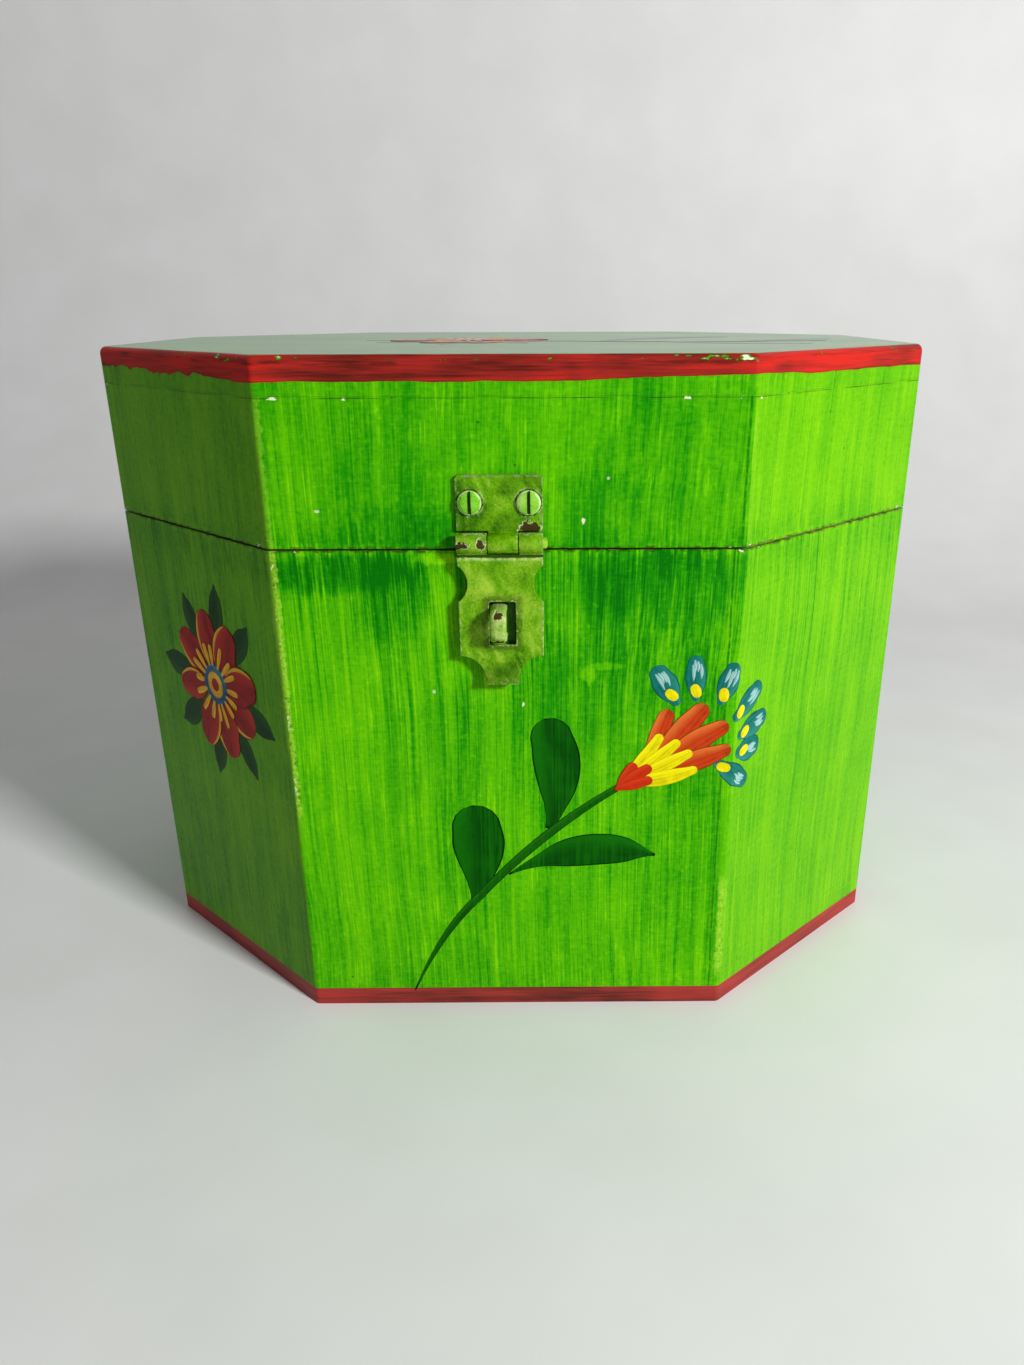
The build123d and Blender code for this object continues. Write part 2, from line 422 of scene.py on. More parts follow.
@dataclass(frozen=True)
class GreenCoat:
    """The green paint itself, brushed up and down."""

    deep: Colour = srgb(4, 100, 2)
    dark: Colour = srgb(28, 132, 2)
    middle: Colour = srgb(78, 167, 2)
    light: Colour = srgb(126, 198, 3)

    def colour(self, recipe: Recipe, tone: Wire) -> Wire:
        """The green for a tone from 0, dark, to 1, light."""
        return recipe.ramp(
            tone, (0.0, self.deep), (0.25, self.dark), (0.55, self.middle), (1.0, self.light)
        )

    @staticmethod
    def brushing(
        recipe: Recipe, place: Sequence[Wire], seed: float, combed: Value
    ) -> tuple[Wire, Wire]:
        """The brush's marks, which run upright on every side of the box.

        Args:
            recipe: the finish.
            place: x, y and z, in millimetres.
            seed: moves the pattern.
            combed: how much the bristles combed the wet paint into streaks, from 0 to 1.

        Returns:
            Tone about 0, and the relief of the bristles.
        """
        x, y, z = place
        sway = recipe.noise((x * 0.012, y * 0.012, z * 0.012 + seed), 1.0) * 7.0

        def marks(fine: float, tall: float, detail: float = 2.0) -> Wire:
            """Noise with fine lumps to a millimetre sideways and tall ones upwards."""
            return recipe.noise(((x + sway) * fine, (y + sway) * fine, z * tall + seed), detail)

        hair = marks(2.2, 0.024)
        streak = marks(0.80, 0.009)
        pull = marks(0.20, 0.008, 3.0)
        cloud = marks(0.026, 0.024, 3.0)
        blotch = marks(0.10, 0.075)
        grain = marks(0.95, 0.75, 4.0)
        scrub = marks(0.26, 1.6, 3.0)
        lit = marks(1.3, 0.045, 1.0).rise(0.08, 0.20) * blotch.rise(-0.04, 0.14) * 0.22
        tone = (hair * 0.85 + streak * 0.74) * combed + pull * 0.48 + cloud * 0.46 + blotch * 0.22
        tone = tone + grain * 0.34 + scrub * 0.24 + lit + grain.rise(0.13, 0.24) * 0.12
        return tone, hair * 0.6 + streak * 0.3 + grain * 0.7 + scrub * 0.25


# Lighter, yellower copy of the green for the walls turned to the lamp: painted light.
LIT_SIDE_COAT = GreenCoat(srgb(30, 116, 3), srgb(62, 146, 3), srgb(96, 168, 4), srgb(130, 188, 8))
# Greyer copy of the green for the walls turned away from the lamp: painted reflection of the pale room.
REFLECTION_VEIL_COAT = GreenCoat(srgb(32, 98, 12), srgb(60, 126, 14), srgb(90, 152, 18), srgb(116, 172, 26))


@dataclass(frozen=True)
class WallLook:
    """How the paint on one wall differs from the rest.

    Attributes:
        tone: lighter or darker than the rest of the box.
        left_edge_look, right_edge_look: the wear of the two upright edges, and their pale lines of wear
            and painted highlight.
        mitre: how far in from the right-hand edge the boards' joint shows, or 0 if it doesn't.
        flakes: where paint flaked off beside the crack, and half the length of each.
        patches: darker and lighter places.
        knocks: places where the paint is gone.
    """

    tone: float = 0.0
    left_edge_look: EdgeWearAndHighlight = EdgeWearAndHighlight()
    right_edge_look: EdgeWearAndHighlight = EdgeWearAndHighlight()
    mitre: float = 0.0
    flakes: tuple[Point, ...] = ()
    patches: tuple[Patch, ...] = ()
    knocks: tuple[Patch, ...] = ()
    coat: GreenCoat = GreenCoat()


@dataclass(frozen=True)
class WallPaint:
    """Green paint over one wall board that is bare wood inside.

    Attributes:
        name: the material's name.
        side: which side of the box.
        plan: the box from above.
        look: how this wall differs.
        rim: height of the board's edge at the seam, in millimetres.
        above_seam: whether this is a board of the lid.
        joint: height of the crack under the lid board, in millimetres.
        seed: moves the pattern, the same all round the lid or the body.
        combed: how much the paint is combed into streaks, from 0 to 1; just under the seam it all is.
    """

    name: str
    side: Side
    plan: Plan
    look: WallLook
    rim: float
    above_seam: bool
    joint: float
    seed: float
    combed: float
    # Pale green of the line along the upright edges: partly wear, partly painted highlight.
    wear_and_highlight: Colour = srgb(150, 196, 50)
    primer: Colour = srgb(214, 212, 180)
    grime_and_shade: Colour = srgb(40, 58, 10)
    timber: Timber = Timber()

    def mix(self) -> bpy.types.Material:
        """Makes the material."""
        recipe = Recipe(self.name, gloss=0.04)
        x, y, z = place = recipe.place()
        turn = math.radians(self.side.value)
        along = x * math.cos(turn) + y * math.sin(turn) - self.plan.shift(self.side)
        depth = self.plan.reach(self.side) - (x * math.sin(turn) - y * math.cos(turn))
        combed = self.combed
        if not self.above_seam:
            combed = z.rise(70.0, 112.0) * (1.0 - self.combed) + self.combed
        marks, relief = self.look.coat.brushing(recipe, place, self.seed, combed)
        tone = marks + 0.47 + self.look.tone + self.shading(recipe, along, z)
        recipe.colour = self.look.coat.colour(recipe, tone)
        chips = self.wearing(recipe, along, depth, z)
        recipe.lay(self.primer, chips)
        wood, grain = self.timber.colour(recipe, along, depth, z)
        bleed = recipe.noise((along * 0.5, z * 0.5, self.seed))
        painted = (depth - bleed * 2.4).rise(1.3, 0.7)
        recipe.colour = recipe.mix(painted, wood, recipe.colour)
        rough = (relief * 0.25 + 0.30) * painted + (1.0 - painted) * 0.62
        return recipe.finish(rough, relief * painted + grain * (1.0 - painted) * 0.6 - chips * 0.8)

    def shading(self, recipe: Recipe, along: Wire, z: Wire) -> Wire:
        """Darker paint in a ragged band along the seam, a lighter line right at it, and the wall's own
        patches.

        Args:
            recipe: the finish.
            along, z: place on the board, in millimetres.

        Returns:
            The change of tone.
        """
        from_seam = (z - self.rim) if self.above_seam else (self.rim - z)
        tails = recipe.noise((along * 1.1, self.seed, z * 0.004), 4.0)
        reach = tails * 22.0 + (3.0 if self.above_seam else 8.0)
        # Darker in a ragged band along the seam, and lighter within a millimetre or so of it.
        change = (from_seam - reach).rise(3.0, -2.0) * -0.13
        for patch in self.look.patches:
            change = change - patch.shade(recipe, along, z, tails)
        return change + from_seam.rise(1.8, 0.5) * (tails + 0.5).rise(0.45, 0.7) * 0.25

    def wearing(self, recipe: Recipe, along: Wire, depth: Wire, z: Wire) -> Wire:
        """Lays down wear along the edges, with a pale line that is partly painted highlight, and cracks
        and specks.

        Args:
            recipe: the finish, with its paint.
            along, depth, z: place on the board, in millimetres.

        Returns:
            Where paint is gone, from 0 to 1.
        """
        half = self.plan.half_length(self.side)
        spot = recipe.vector(along, depth + self.seed, z)
        frayed = recipe.noise((along * 0.4, depth * 0.4, z * 0.55 + self.seed), 4.0)
        upright = recipe.noise((self.seed, 0.0, z * 0.05))
        bite = recipe.noise(spot, 3.0, 1.1)
        chips: Value = 0.0
        for edge, wear in ((along + half, self.look.left_edge_look), (half - along, self.look.right_edge_look)):
            if wear.amount <= 0:
                continue
            away = abs((z - wear.height) * (1 / wear.rise) + upright * 0.8)
            here = away.rise(1.3, 0.7) * wear.amount
            # A pale line along the upright edge: partly wear, partly painted highlight where the rounded
            # edge catches the light.
            pale_wear_and_highlight = (edge - frayed * 2.4).rise(1.9, 1.1) * (here + upright * 0.6).rise(0.05, 0.5)
            recipe.lay(self.wear_and_highlight, pale_wear_and_highlight * (bite * 1.6 + 0.6))
            gone = edge.rise(2.0, 0.6) * 0.30 + bite + upright * 0.3 + here * 0.22
            chips = gone.rise(0.56, 0.60).most(chips)
            recipe.lay(self.grime_and_shade, edge.rise(1.9, 1.0) * here * (frayed + bite).rise(-0.10, -0.20) * 0.8)
        seam_bite = recipe.noise((along * 0.35, self.seed, z * 0.8), 4.0)
        from_seam = abs(z - self.rim)
        recipe.lay(self.grime_and_shade, from_seam.rise(0.7, 0.3) * seam_bite.rise(-0.05, 0.08) * 0.7)
        corner = (half - abs(along)).rise(16.0, 3.0) * 0.10
        chips = chips.most(from_seam.rise(0.8, 0.35) * (seam_bite + corner).rise(0.19, 0.23))
        if self.look.mitre > 0:
            wander = recipe.noise((self.seed, 1.0, z * 0.05), 4.0)
            line = abs(half - self.look.mitre - along + wander * 1.4).rise(0.45, 0.12)
            recipe.lay(self.look.coat.deep, line * frayed.rise(-0.2, 0.05) * 0.8)
        if self.above_seam:
            chips = chips.most(self.crack(recipe, along, z, seam_bite))
        recipe.lay(self.grime_and_shade, recipe.specks(spot, 0.10, 0.04, 0.4) * 0.75)
        chips = chips.most(recipe.specks(spot, 0.06, 0.03, 0.5))
        for knock in self.look.knocks:
            chips = chips.most(knock.shade(recipe, along + bite * 0.8, z, bite))
        return chips

    def crack(self, recipe: Recipe, along: Wire, z: Wire, bite: Wire) -> Wire:
        """Lays down the broken crack where the walls meet the lid board.

        Args:
            recipe: the finish, with its paint.
            along, z: place on the board.
            bite: noise that picks where paint flaked off beside the crack.

        Returns:
            The flakes, from 0 to 1.
        """
        wander = recipe.noise((along * 0.08, self.seed, 0.0))
        line = abs(z - (self.joint - 0.30) - wander * 0.4).rise(0.20, 0.06)
        broken = recipe.noise((along * 0.09, self.seed + 6, 0.0), 3.0)
        recipe.lay(self.grime_and_shade, line * broken.rise(-0.12, 0.08) * 0.7)
        flake = bite * 0.7
        for where, reach in self.look.flakes:
            flake = flake + abs(along - where).rise(reach * 1.4, reach * 0.5) * 0.15
        return abs(z - self.joint + 0.15 + bite * 1.2).rise(0.5, 0.3) * flake.rise(0.13, 0.16)


@dataclass(frozen=True)
class RedBandPaint:
    """Red paint brushed round an edge, over the green, with chips that show what is under it."""

    bright: Colour = srgb(184, 36, 28)
    middle: Colour = srgb(136, 34, 28)
    dark: Colour = srgb(78, 25, 18)
    under: Colour = srgb(66, 150, 20)
    primer: Colour = srgb(226, 220, 196)

    def colour(self, recipe: Recipe, place: Sequence[Wire], seed: float) -> tuple[Wire, Wire]:
        """The red, drawn along the edge.

        Args:
            recipe: the finish.
            place: x, y and z, in millimetres.
            seed: moves the pattern.

        Returns:
            The colour and the relief of the brush.
        """
        x, y, z = place
        drag = recipe.noise((x * 0.035, y * 0.035 + seed, z * 0.65), 3.0)
        hair = recipe.noise((x * 0.10, y * 0.10 + seed, z * 2.4))
        blot = recipe.noise((x * 0.03, y * 0.03, z * 0.05 + seed), warp=0.5)
        ends = abs(x).rise(38.0, 64.0) * 0.28
        tone = drag * 1.3 + hair * 0.7 + blot * 1.5 + ends + 0.40
        red = recipe.ramp(tone, (0.1, self.dark), (0.5, self.middle), (0.9, self.bright))
        return red, drag * 0.6 + hair * 0.5


@dataclass(frozen=True)
class LidBoardPaint:
    """The lid's top board: red round its edge, green above and below that, bare wood inside.

    Attributes:
        plan: the box from above.
        joint: height of the board's underside, in millimetres.
        top: height of its upper face.
        seed, combed: the green's pattern, as on the lid's walls.
        band: how far the red reaches down from the top.
        border: how far it reaches in over the rounded edge.
        knocks: places on the front edge that took a knock: where, half its length, how hard.
    """

    plan: Plan
    joint: float
    top: float
    seed: float
    combed: float
    band: float = 5.4
    border: float = 1.5
    tone: float = -0.03
    knocks: tuple[tuple[float, float, float], ...] = ((-55, 4, 0.14), (43, 7, 0.14), (54, 7, 0.20))
    red: RedBandPaint = RedBandPaint()
    grime_and_shade: Colour = srgb(40, 58, 10)
    field_dark: Colour = srgb(30, 108, 10)
    field_light: Colour = srgb(88, 164, 26)
    timber: Timber = Timber()

    def mix(self) -> bpy.types.Material:
        """Makes the material."""
        recipe = Recipe("lid_board_paint", gloss=0.04)
        x, y, z = place = recipe.place()
        inset = self.plan.inset(x, y)
        wave = recipe.noise((x * 0.045, y * 0.045, 2.0), 3.0)
        jag = recipe.noise((x * 0.16, y * 0.16, 7.0))
        front = y.rise(-80.0, -95.0)
        drop = front * (x.rise(4.0, 58.0) * -1.4 + 0.75)
        lower = self.top - self.band - drop + wave * 1.2 + jag * (0.6 + x.rise(-60.0, -95.0) * 4.5)
        below = (z - lower).rise(0.1, -0.1)
        above = z.rise(self.top - 0.8, self.top - 0.4)
        inside = (inset - wave * 1.2).rise(self.border - 0.15, self.border + 0.15) * above
        side_green, side_relief = self.side_green(recipe, place)
        top_green, top_relief = self.top_green(recipe, x, y)
        recipe.colour, red_relief = self.red.colour(recipe, place, 3.0)
        recipe.lay(self.red.dark, abs(z - lower).rise(0.5, 0.15) * 0.45)
        # Ragged darker marks in a band just under the top edge.
        top_edge_dark_marks = recipe.noise((x * 0.10, y * 0.10, z * 0.5), 4.0).rise(0.02, 0.14)
        recipe.lay(self.red.dark, abs(z - (self.top - 1.7)).rise(1.1, 0.3) * top_edge_dark_marks * 0.7)
        recipe.lay(side_green, below)
        recipe.lay(top_green, inside)
        chip, bare = self.knocked(recipe, place, inset, front)
        wood, grain = self.timber.colour(recipe, x, y, z)
        within = z.rise(self.joint + 0.1, self.joint - 0.02) * inset.rise(1.0, 1.6)
        recipe.lay(wood, within)
        level = red_relief * (1.0 - below) + side_relief * below
        level = level * (1.0 - inside) + top_relief * inside
        rough = level * 0.25 + within * 0.3 + 0.32
        height = level * (1.0 - within) + grain * within * 0.6 - chip * 0.7 - bare * 0.3
        return recipe.finish(rough, height, varnish=inside * 0.75)

    def side_green(self, recipe: Recipe, place: Sequence[Wire]) -> tuple[Wire, Wire]:
        """The green below the red, in the coat of the wall under it.

        Args:
            recipe: the finish.
            place: x, y and z, in millimetres.

        Returns:
            The colour and the relief of the bristles.
        """
        marks, relief = GreenCoat.brushing(recipe, place, self.seed, self.combed)
        tone = marks + 0.47 + self.tone
        green = GreenCoat().colour(recipe, tone)
        corner = self.plan.reach(Side.FRONT_RIGHT) - 0.4
        # The lid board's sides take the painted light and painted reflection of the walls under them.
        for way, coat in ((1.0, LIT_SIDE_COAT), (-1.0, REFLECTION_VEIL_COAT)):
            there = ((place[0] * way - place[1]) * math.sqrt(0.5)).rise(corner, corner + 0.2)
            green = recipe.mix(there, green, coat.colour(recipe, tone))
        return green, relief

    def top_green(self, recipe: Recipe, x: Wire, y: Wire) -> tuple[Wire, Wire]:
        """The green of the upper face, brushed from side to side.

        Args:
            recipe: the finish.
            x, y: place, in millimetres.

        Returns:
            The colour and the relief of the bristles.
        """
        across = recipe.noise((x * 0.012, y * 0.012, 3.0), 1.0) * 7.0 + y
        hair = recipe.noise((x * 0.03, across * 1.9, 1.0), 3.0)
        streak = recipe.noise((x * 0.014, across * 0.50, 5.0), 3.0)
        cloud = recipe.noise((x * 0.02, y * 0.03, 8.0))
        tone = hair * 1.0 + streak * 0.85 + cloud * 0.8 + 0.5
        green = recipe.ramp(tone, (0.2, self.field_dark), (0.85, self.field_light))
        return green, hair * 0.6 + streak * 0.4

    def knocked(
        self, recipe: Recipe, place: Sequence[Wire], inset: Wire, front: Wire
    ) -> tuple[Wire, Wire]:
        """Lays down the knocks and grimy wear along the upper edge, and the crack under the board.

        Args:
            recipe: the finish, with its paint.
            place: x, y and z, in millimetres.
            inset: how far in from the outline.
            front: 1 at the front.

        Returns:
            Where the red is gone, and where the green under it is gone too.
        """
        x, y, z = place
        edge = (abs(z - (self.top - 0.9)) + inset.rise(0.8, 2.4) * 9.0).rise(1.1, 0.3)
        bite = recipe.noise((x * 0.32, y * 0.32, z * 0.9), 5.0)
        wear_and_highlight = edge * 0.16 + bite + recipe.noise((x, y, 0.0), scale=0.035) * 0.4
        for where, reach, hard in self.knocks:
            wear_and_highlight = wear_and_highlight + abs(x - where).rise(reach, reach * 0.5) * front * hard
        grimy, chip, bare = (
            wear_and_highlight.rise(low, high) * edge.rise(0.05, 0.4)
            for low, high in ((0.29, 0.33), (0.34, 0.36), (0.40, 0.42))
        )
        recipe.lay(self.grime_and_shade, grimy * 0.7)
        recipe.lay(self.red.under, chip)
        recipe.lay(self.red.primer, bare)
        crack = abs(z - (self.joint + 0.1)).rise(0.16, 0.06)
        broken = recipe.noise((x * 0.09, y * 0.09, 4.0), 3.0)
        recipe.lay(self.grime_and_shade, crack * broken.rise(-0.12, 0.08) * 0.4)
        return chip, bare


@dataclass(frozen=True)
class BaseBoardPaint:
    """The base board: red round its edge, bare wood above and below."""

    plan: Plan
    red: RedBandPaint = RedBandPaint(middle=srgb(128, 40, 34), bright=srgb(156, 46, 40))
    timber: Timber = Timber()

    def mix(self) -> bpy.types.Material:
        """Makes the material."""
        recipe = Recipe("base_board_paint", gloss=0.2)
        x, y, z = place = recipe.place()
        recipe.colour, relief = self.red.colour(recipe, place, 11.0)
        wood, grain = self.timber.colour(recipe, x, y, z)
        bleed = recipe.noise((x * 0.08, y * 0.08, z), 3.0)
        painted = (self.plan.inset(x, y) - bleed * 5.0).rise(2.6, 1.6)
        bite = recipe.noise((x, y, z), 4.0, 0.3)
        chip = (bite + z.rise(0.9, 0.1) * 0.1).rise(0.27, 0.29) * painted
        recipe.lay(self.red.primer, chip)
        recipe.colour = recipe.mix(painted, wood, recipe.colour)
        height = relief * painted + grain * (1.0 - painted) * 0.6 - chip * 0.5
        return recipe.finish(0.44 + (1.0 - painted) * 0.2, height)


@dataclass(frozen=True)
class Outline:
    """An upright rectangle on the hardware, in millimetres."""

    left: float
    right: float
    low: float
    high: float

    def distance(self, x: Wire, z: Wire) -> Wire:
        """How far outside the outline a point lies, or below 0 inside it."""
        across = abs(x - (self.left + self.right) / 2) - (self.right - self.left) / 2
        upward = abs(z - (self.low + self.high) / 2) - (self.high - self.low) / 2
        return across.most(upward)


@dataclass(frozen=True)
class HardwarePaint:
    """Olive paint over sheet metal: grimy, pale along the edges with wear and painted highlight, with
    painted shade under the knuckles and round the screws, chipped to brown in places.

    Attributes:
        name: the material's name.
        seed: moves the pattern.
        chips: how much is chipped, from 0 to 1.
        pale: lighter overall, from 0 to 1, or darker below 0.
        plate: the plate's outline, if it has one.
        lip: how much its edges are pale, as wear and painted highlight, from 0 to 1, the rest being
            grimy.
        fold: height of the fold under the knuckles, where a painted shadow line runs with a painted
            highlight line below it, or 0 if there is none.
        foot: height below which the paint gets darker, or 0 if it doesn't.
        hole: the hole in it, with a darker ring round it and a pale rim, if there is one.
        screws: middles of the screws, each in a dark ring that is partly soiling and partly painted
            shade in the crevice round its head.
        slots: whether the screws themselves get this paint, so that their slots are painted dark as
            shade.
        knocks: places where the paint is gone.
        patches: darker and lighter places.
    """

    name: str
    seed: float = 0.0
    chips: float = 0.3
    pale: float = 0.0
    plate: Outline | None = None
    lip: float = 0.5
    fold: float = 0.0
    foot: float = 0.0
    hole: Outline | None = None
    screws: tuple[Point, ...] = ()
    slots: bool = False
    knocks: tuple[Patch, ...] = ()
    patches: tuple[Patch, ...] = ()
    dark: Colour = srgb(40, 90, 2)
    middle: Colour = srgb(90, 146, 4)
    light: Colour = srgb(146, 182, 50)
    # Pale paint for smears, chip rims and wear on edges, and painted highlight on edges and under the
    # knuckles.
    pale_wear_and_highlight: Colour = srgb(198, 210, 150)
    # Dark of soiling, also used for painted shade under the knuckles, in the screw slots and crevices.
    grime_and_shade: Colour = srgb(24, 40, 5)
    rust: Colour = srgb(58, 46, 12)

    def mix(self) -> bpy.types.Material:
        """Makes the material."""
        recipe = Recipe(self.name, gloss=0.09)
        x, y, z = recipe.place()
        spot = recipe.vector(x, y + self.seed, z)
        cloud = recipe.noise(spot, 3.0, 0.13, 0.8)
        bow = recipe.noise(spot, 1.0, 0.06) * 9.0
        leaning = ((x + z * 0.2 + bow) * 0.62, y + self.seed, (z + bow) * 0.13)
        smear = recipe.noise(leaning, 3.0, warp=0.5)
        fine = recipe.noise(spot, 4.0, 1.8)
        ragged = recipe.noise(spot, 4.0, 0.8, 0.6)
        tone = cloud * 1.3 + smear * 0.6 + fine * 0.6 + 0.52 + self.pale * 0.3
        for patch in self.patches:
            tone = tone - patch.shade(recipe, x, z, smear)
        recipe.colour = recipe.ramp(tone, (0.1, self.dark), (0.5, self.middle), (0.95, self.light))
        recipe.lay(self.pale_wear_and_highlight, smear.rise(0.08, 0.30) * cloud.rise(-0.1, 0.15) * 0.35)
        stain = recipe.noise(spot, 4.0, 0.30, 1.0).rise(0.12, 0.26)
        recipe.lay(self.grime_and_shade, stain * 0.4)
        recipe.lay(self.grime_and_shade, recipe.specks(spot, 0.7, 0.14, 0.2) * 0.6)
        self.edges(recipe, x, z, ragged)
        if self.screws:
            self.rings(recipe, x, z, ragged, smear)
        gone = (ragged + cloud * 0.5).rise(0.36 - self.chips * 0.10, 0.38 - self.chips * 0.10)
        for knock in self.knocks:
            gone = gone.most(knock.shade(recipe, x + ragged * 2.4, z, ragged * 1.6))
        recipe.lay(self.rust, gone)
        recipe.colour = recipe.mix(gone.rise(0.02, 0.3) * (1.0 - gone), recipe.colour, self.pale_wear_and_highlight)
        rough = 0.34 + fine * 0.25 + gone * 0.25 + stain * 0.12
        return recipe.finish(rough, cloud * 0.6 + smear * 0.5 + fine * 0.5 - gone * 0.9, depth=0.22)

    def edges(self, recipe: Recipe, x: Wire, z: Wire, ragged: Wire) -> None:
        """Lays down pale edges of wear and painted highlight, the painted shadow and highlight under the
        knuckles, darker paint towards the foot, and a darker ring round the hole.

        Args:
            recipe: the finish, with its paint.
            x, z: place, in millimetres.
            ragged: noise that breaks the marks up.
        """
        if self.plate:
            past = self.plate.distance(x, z)
            # Along the plate's outline: a dark soiled edge, and pale edges that are partly wear and
            # partly painted highlight.
            recipe.lay(self.grime_and_shade, (past + ragged * 2.4).rise(-0.5, 0.1) * (1.0 - self.lip) * 0.8)
            recipe.lay(self.pale_wear_and_highlight, (past + ragged * 2.8).rise(-0.30, 0.05) * self.lip)
        if self.fold:
            below = self.fold - z
            # Painted shadow of the knuckles in a dark line, with a painted highlight line just below it.
            lit = (below + ragged * 1.8).rise(0.55, 0.75) * below.rise(1.5, 0.9)
            recipe.lay(self.pale_wear_and_highlight, lit * ragged.rise(-0.25, 0.15) * 0.5)
            recipe.lay(self.grime_and_shade, abs(below - 0.1 + ragged * 0.4).rise(0.55, 0.25) * 0.9)
        if self.foot:
            # Darker towards the foot.
            recipe.lay(self.grime_and_shade, (self.foot - z + ragged * 9.0).rise(-3.0, 4.0) * 0.42)
        if self.hole:
            near = self.hole.distance(x, z)
            # Darker round the hole, and a pale rim of wear and painted highlight at its edge.
            recipe.lay(self.grime_and_shade, (near + ragged * 3.0).rise(2.6, 0.4) * 0.6)
            recipe.lay(self.pale_wear_and_highlight, (near + ragged * 2.4).rise(0.2, -0.1) * 0.4)

    def rings(self, recipe: Recipe, x: Wire, z: Wire, ragged: Wire, smear: Wire) -> None:
        """Lays down painted shade in the slots of the screws, or the dark rings, partly painted shade in
        their crevices, that they stand in.

        Args:
            recipe: the finish, with its paint.
            x, z: place, in millimetres.
            ragged, smear: fine and coarse noise that break the marks up.
        """
        far: Value = 99.0
        slot: Value = 0.0
        for across, up in self.screws:
            reach = recipe.length(x - across, z - up)
            far = reach.least(far)
            slot = (abs(x - across).rise(0.50, 0.36) * reach.rise(3.0, 2.8)).most(slot)
        if self.slots:
            # Painted shade in each slot, and a pale rim at the head's edge that is partly painted
            # highlight.
            recipe.lay(self.grime_and_shade, slot * 0.85)
            recipe.lay(self.pale_wear_and_highlight, (far + ragged * 1.2).rise(2.6, 2.9) * 0.6)
        else:
            # A dark ring in the crevice round each head, partly soiling and partly painted shade, with a
            # pale ring beyond it.
            ring = (far + ragged * 2.2).rise(4.1, 3.3) * (ragged + smear).rise(-0.10, 0.25)
            recipe.lay(self.pale_wear_and_highlight, ring * 0.55)
            recipe.lay(self.grime_and_shade, (far + ragged * 1.0).rise(3.5, 3.1) * 0.85)


class Pigment(Enum):
    """The paints of the flowers: name, then body, shade, glow and outline, then line, glaze, tip."""

    LEAF = ("leaf", (1, 66, 1), (1, 50, 1), (14, 98, 3), (0, 22, 0), 0.08, 0.75, 0.0)
    STEM = ("stem", (8, 78, 2), (2, 60, 1), (26, 102, 4), (1, 38, 1), 0.20, 0.5, 0.0)
    SHADED_LEAF = ("shaded_leaf", (14, 60, 16), (6, 44, 12), (32, 80, 22), (4, 34, 8), 0.08, 0.3, 0.0)
    CALYX = ("calyx", (180, 44, 12), (162, 32, 10), (192, 56, 22), (132, 26, 8), 0.10, 0.0, 0.0)
    YELLOW = ("yellow", (212, 202, 2), (170, 158, 6), (226, 218, 16), (156, 140, 4), 0.07, 0.0, 0.2)
    ORANGE = ("orange", (178, 56, 16), (154, 42, 12), (206, 108, 44), (76, 26, 6), 0.09, 0.0, 0.45)
    BLUE = ("blue", (18, 104, 92), (8, 78, 76), (42, 128, 112), (6, 60, 60), 0.10, 0.0, 0.0)
    WHITE = ("white", (138, 178, 172), (84, 146, 146), (194, 212, 204), (56, 128, 130), 0.34, 0.0, 0.4)
    RED = ("petal_red", (150, 30, 24), (108, 16, 16), (176, 48, 34), (84, 14, 12), 0.06, 0.0, 0.0)
    OCHRE = ("ochre", (216, 168, 40), (184, 124, 24), (234, 192, 66), (160, 100, 22), 0.12, 0.0, 0.0)
    RING = ("ring_blue", (30, 88, 118), (16, 66, 96), (56, 114, 140), (10, 52, 76), 0.08, 0.0, 0.0)


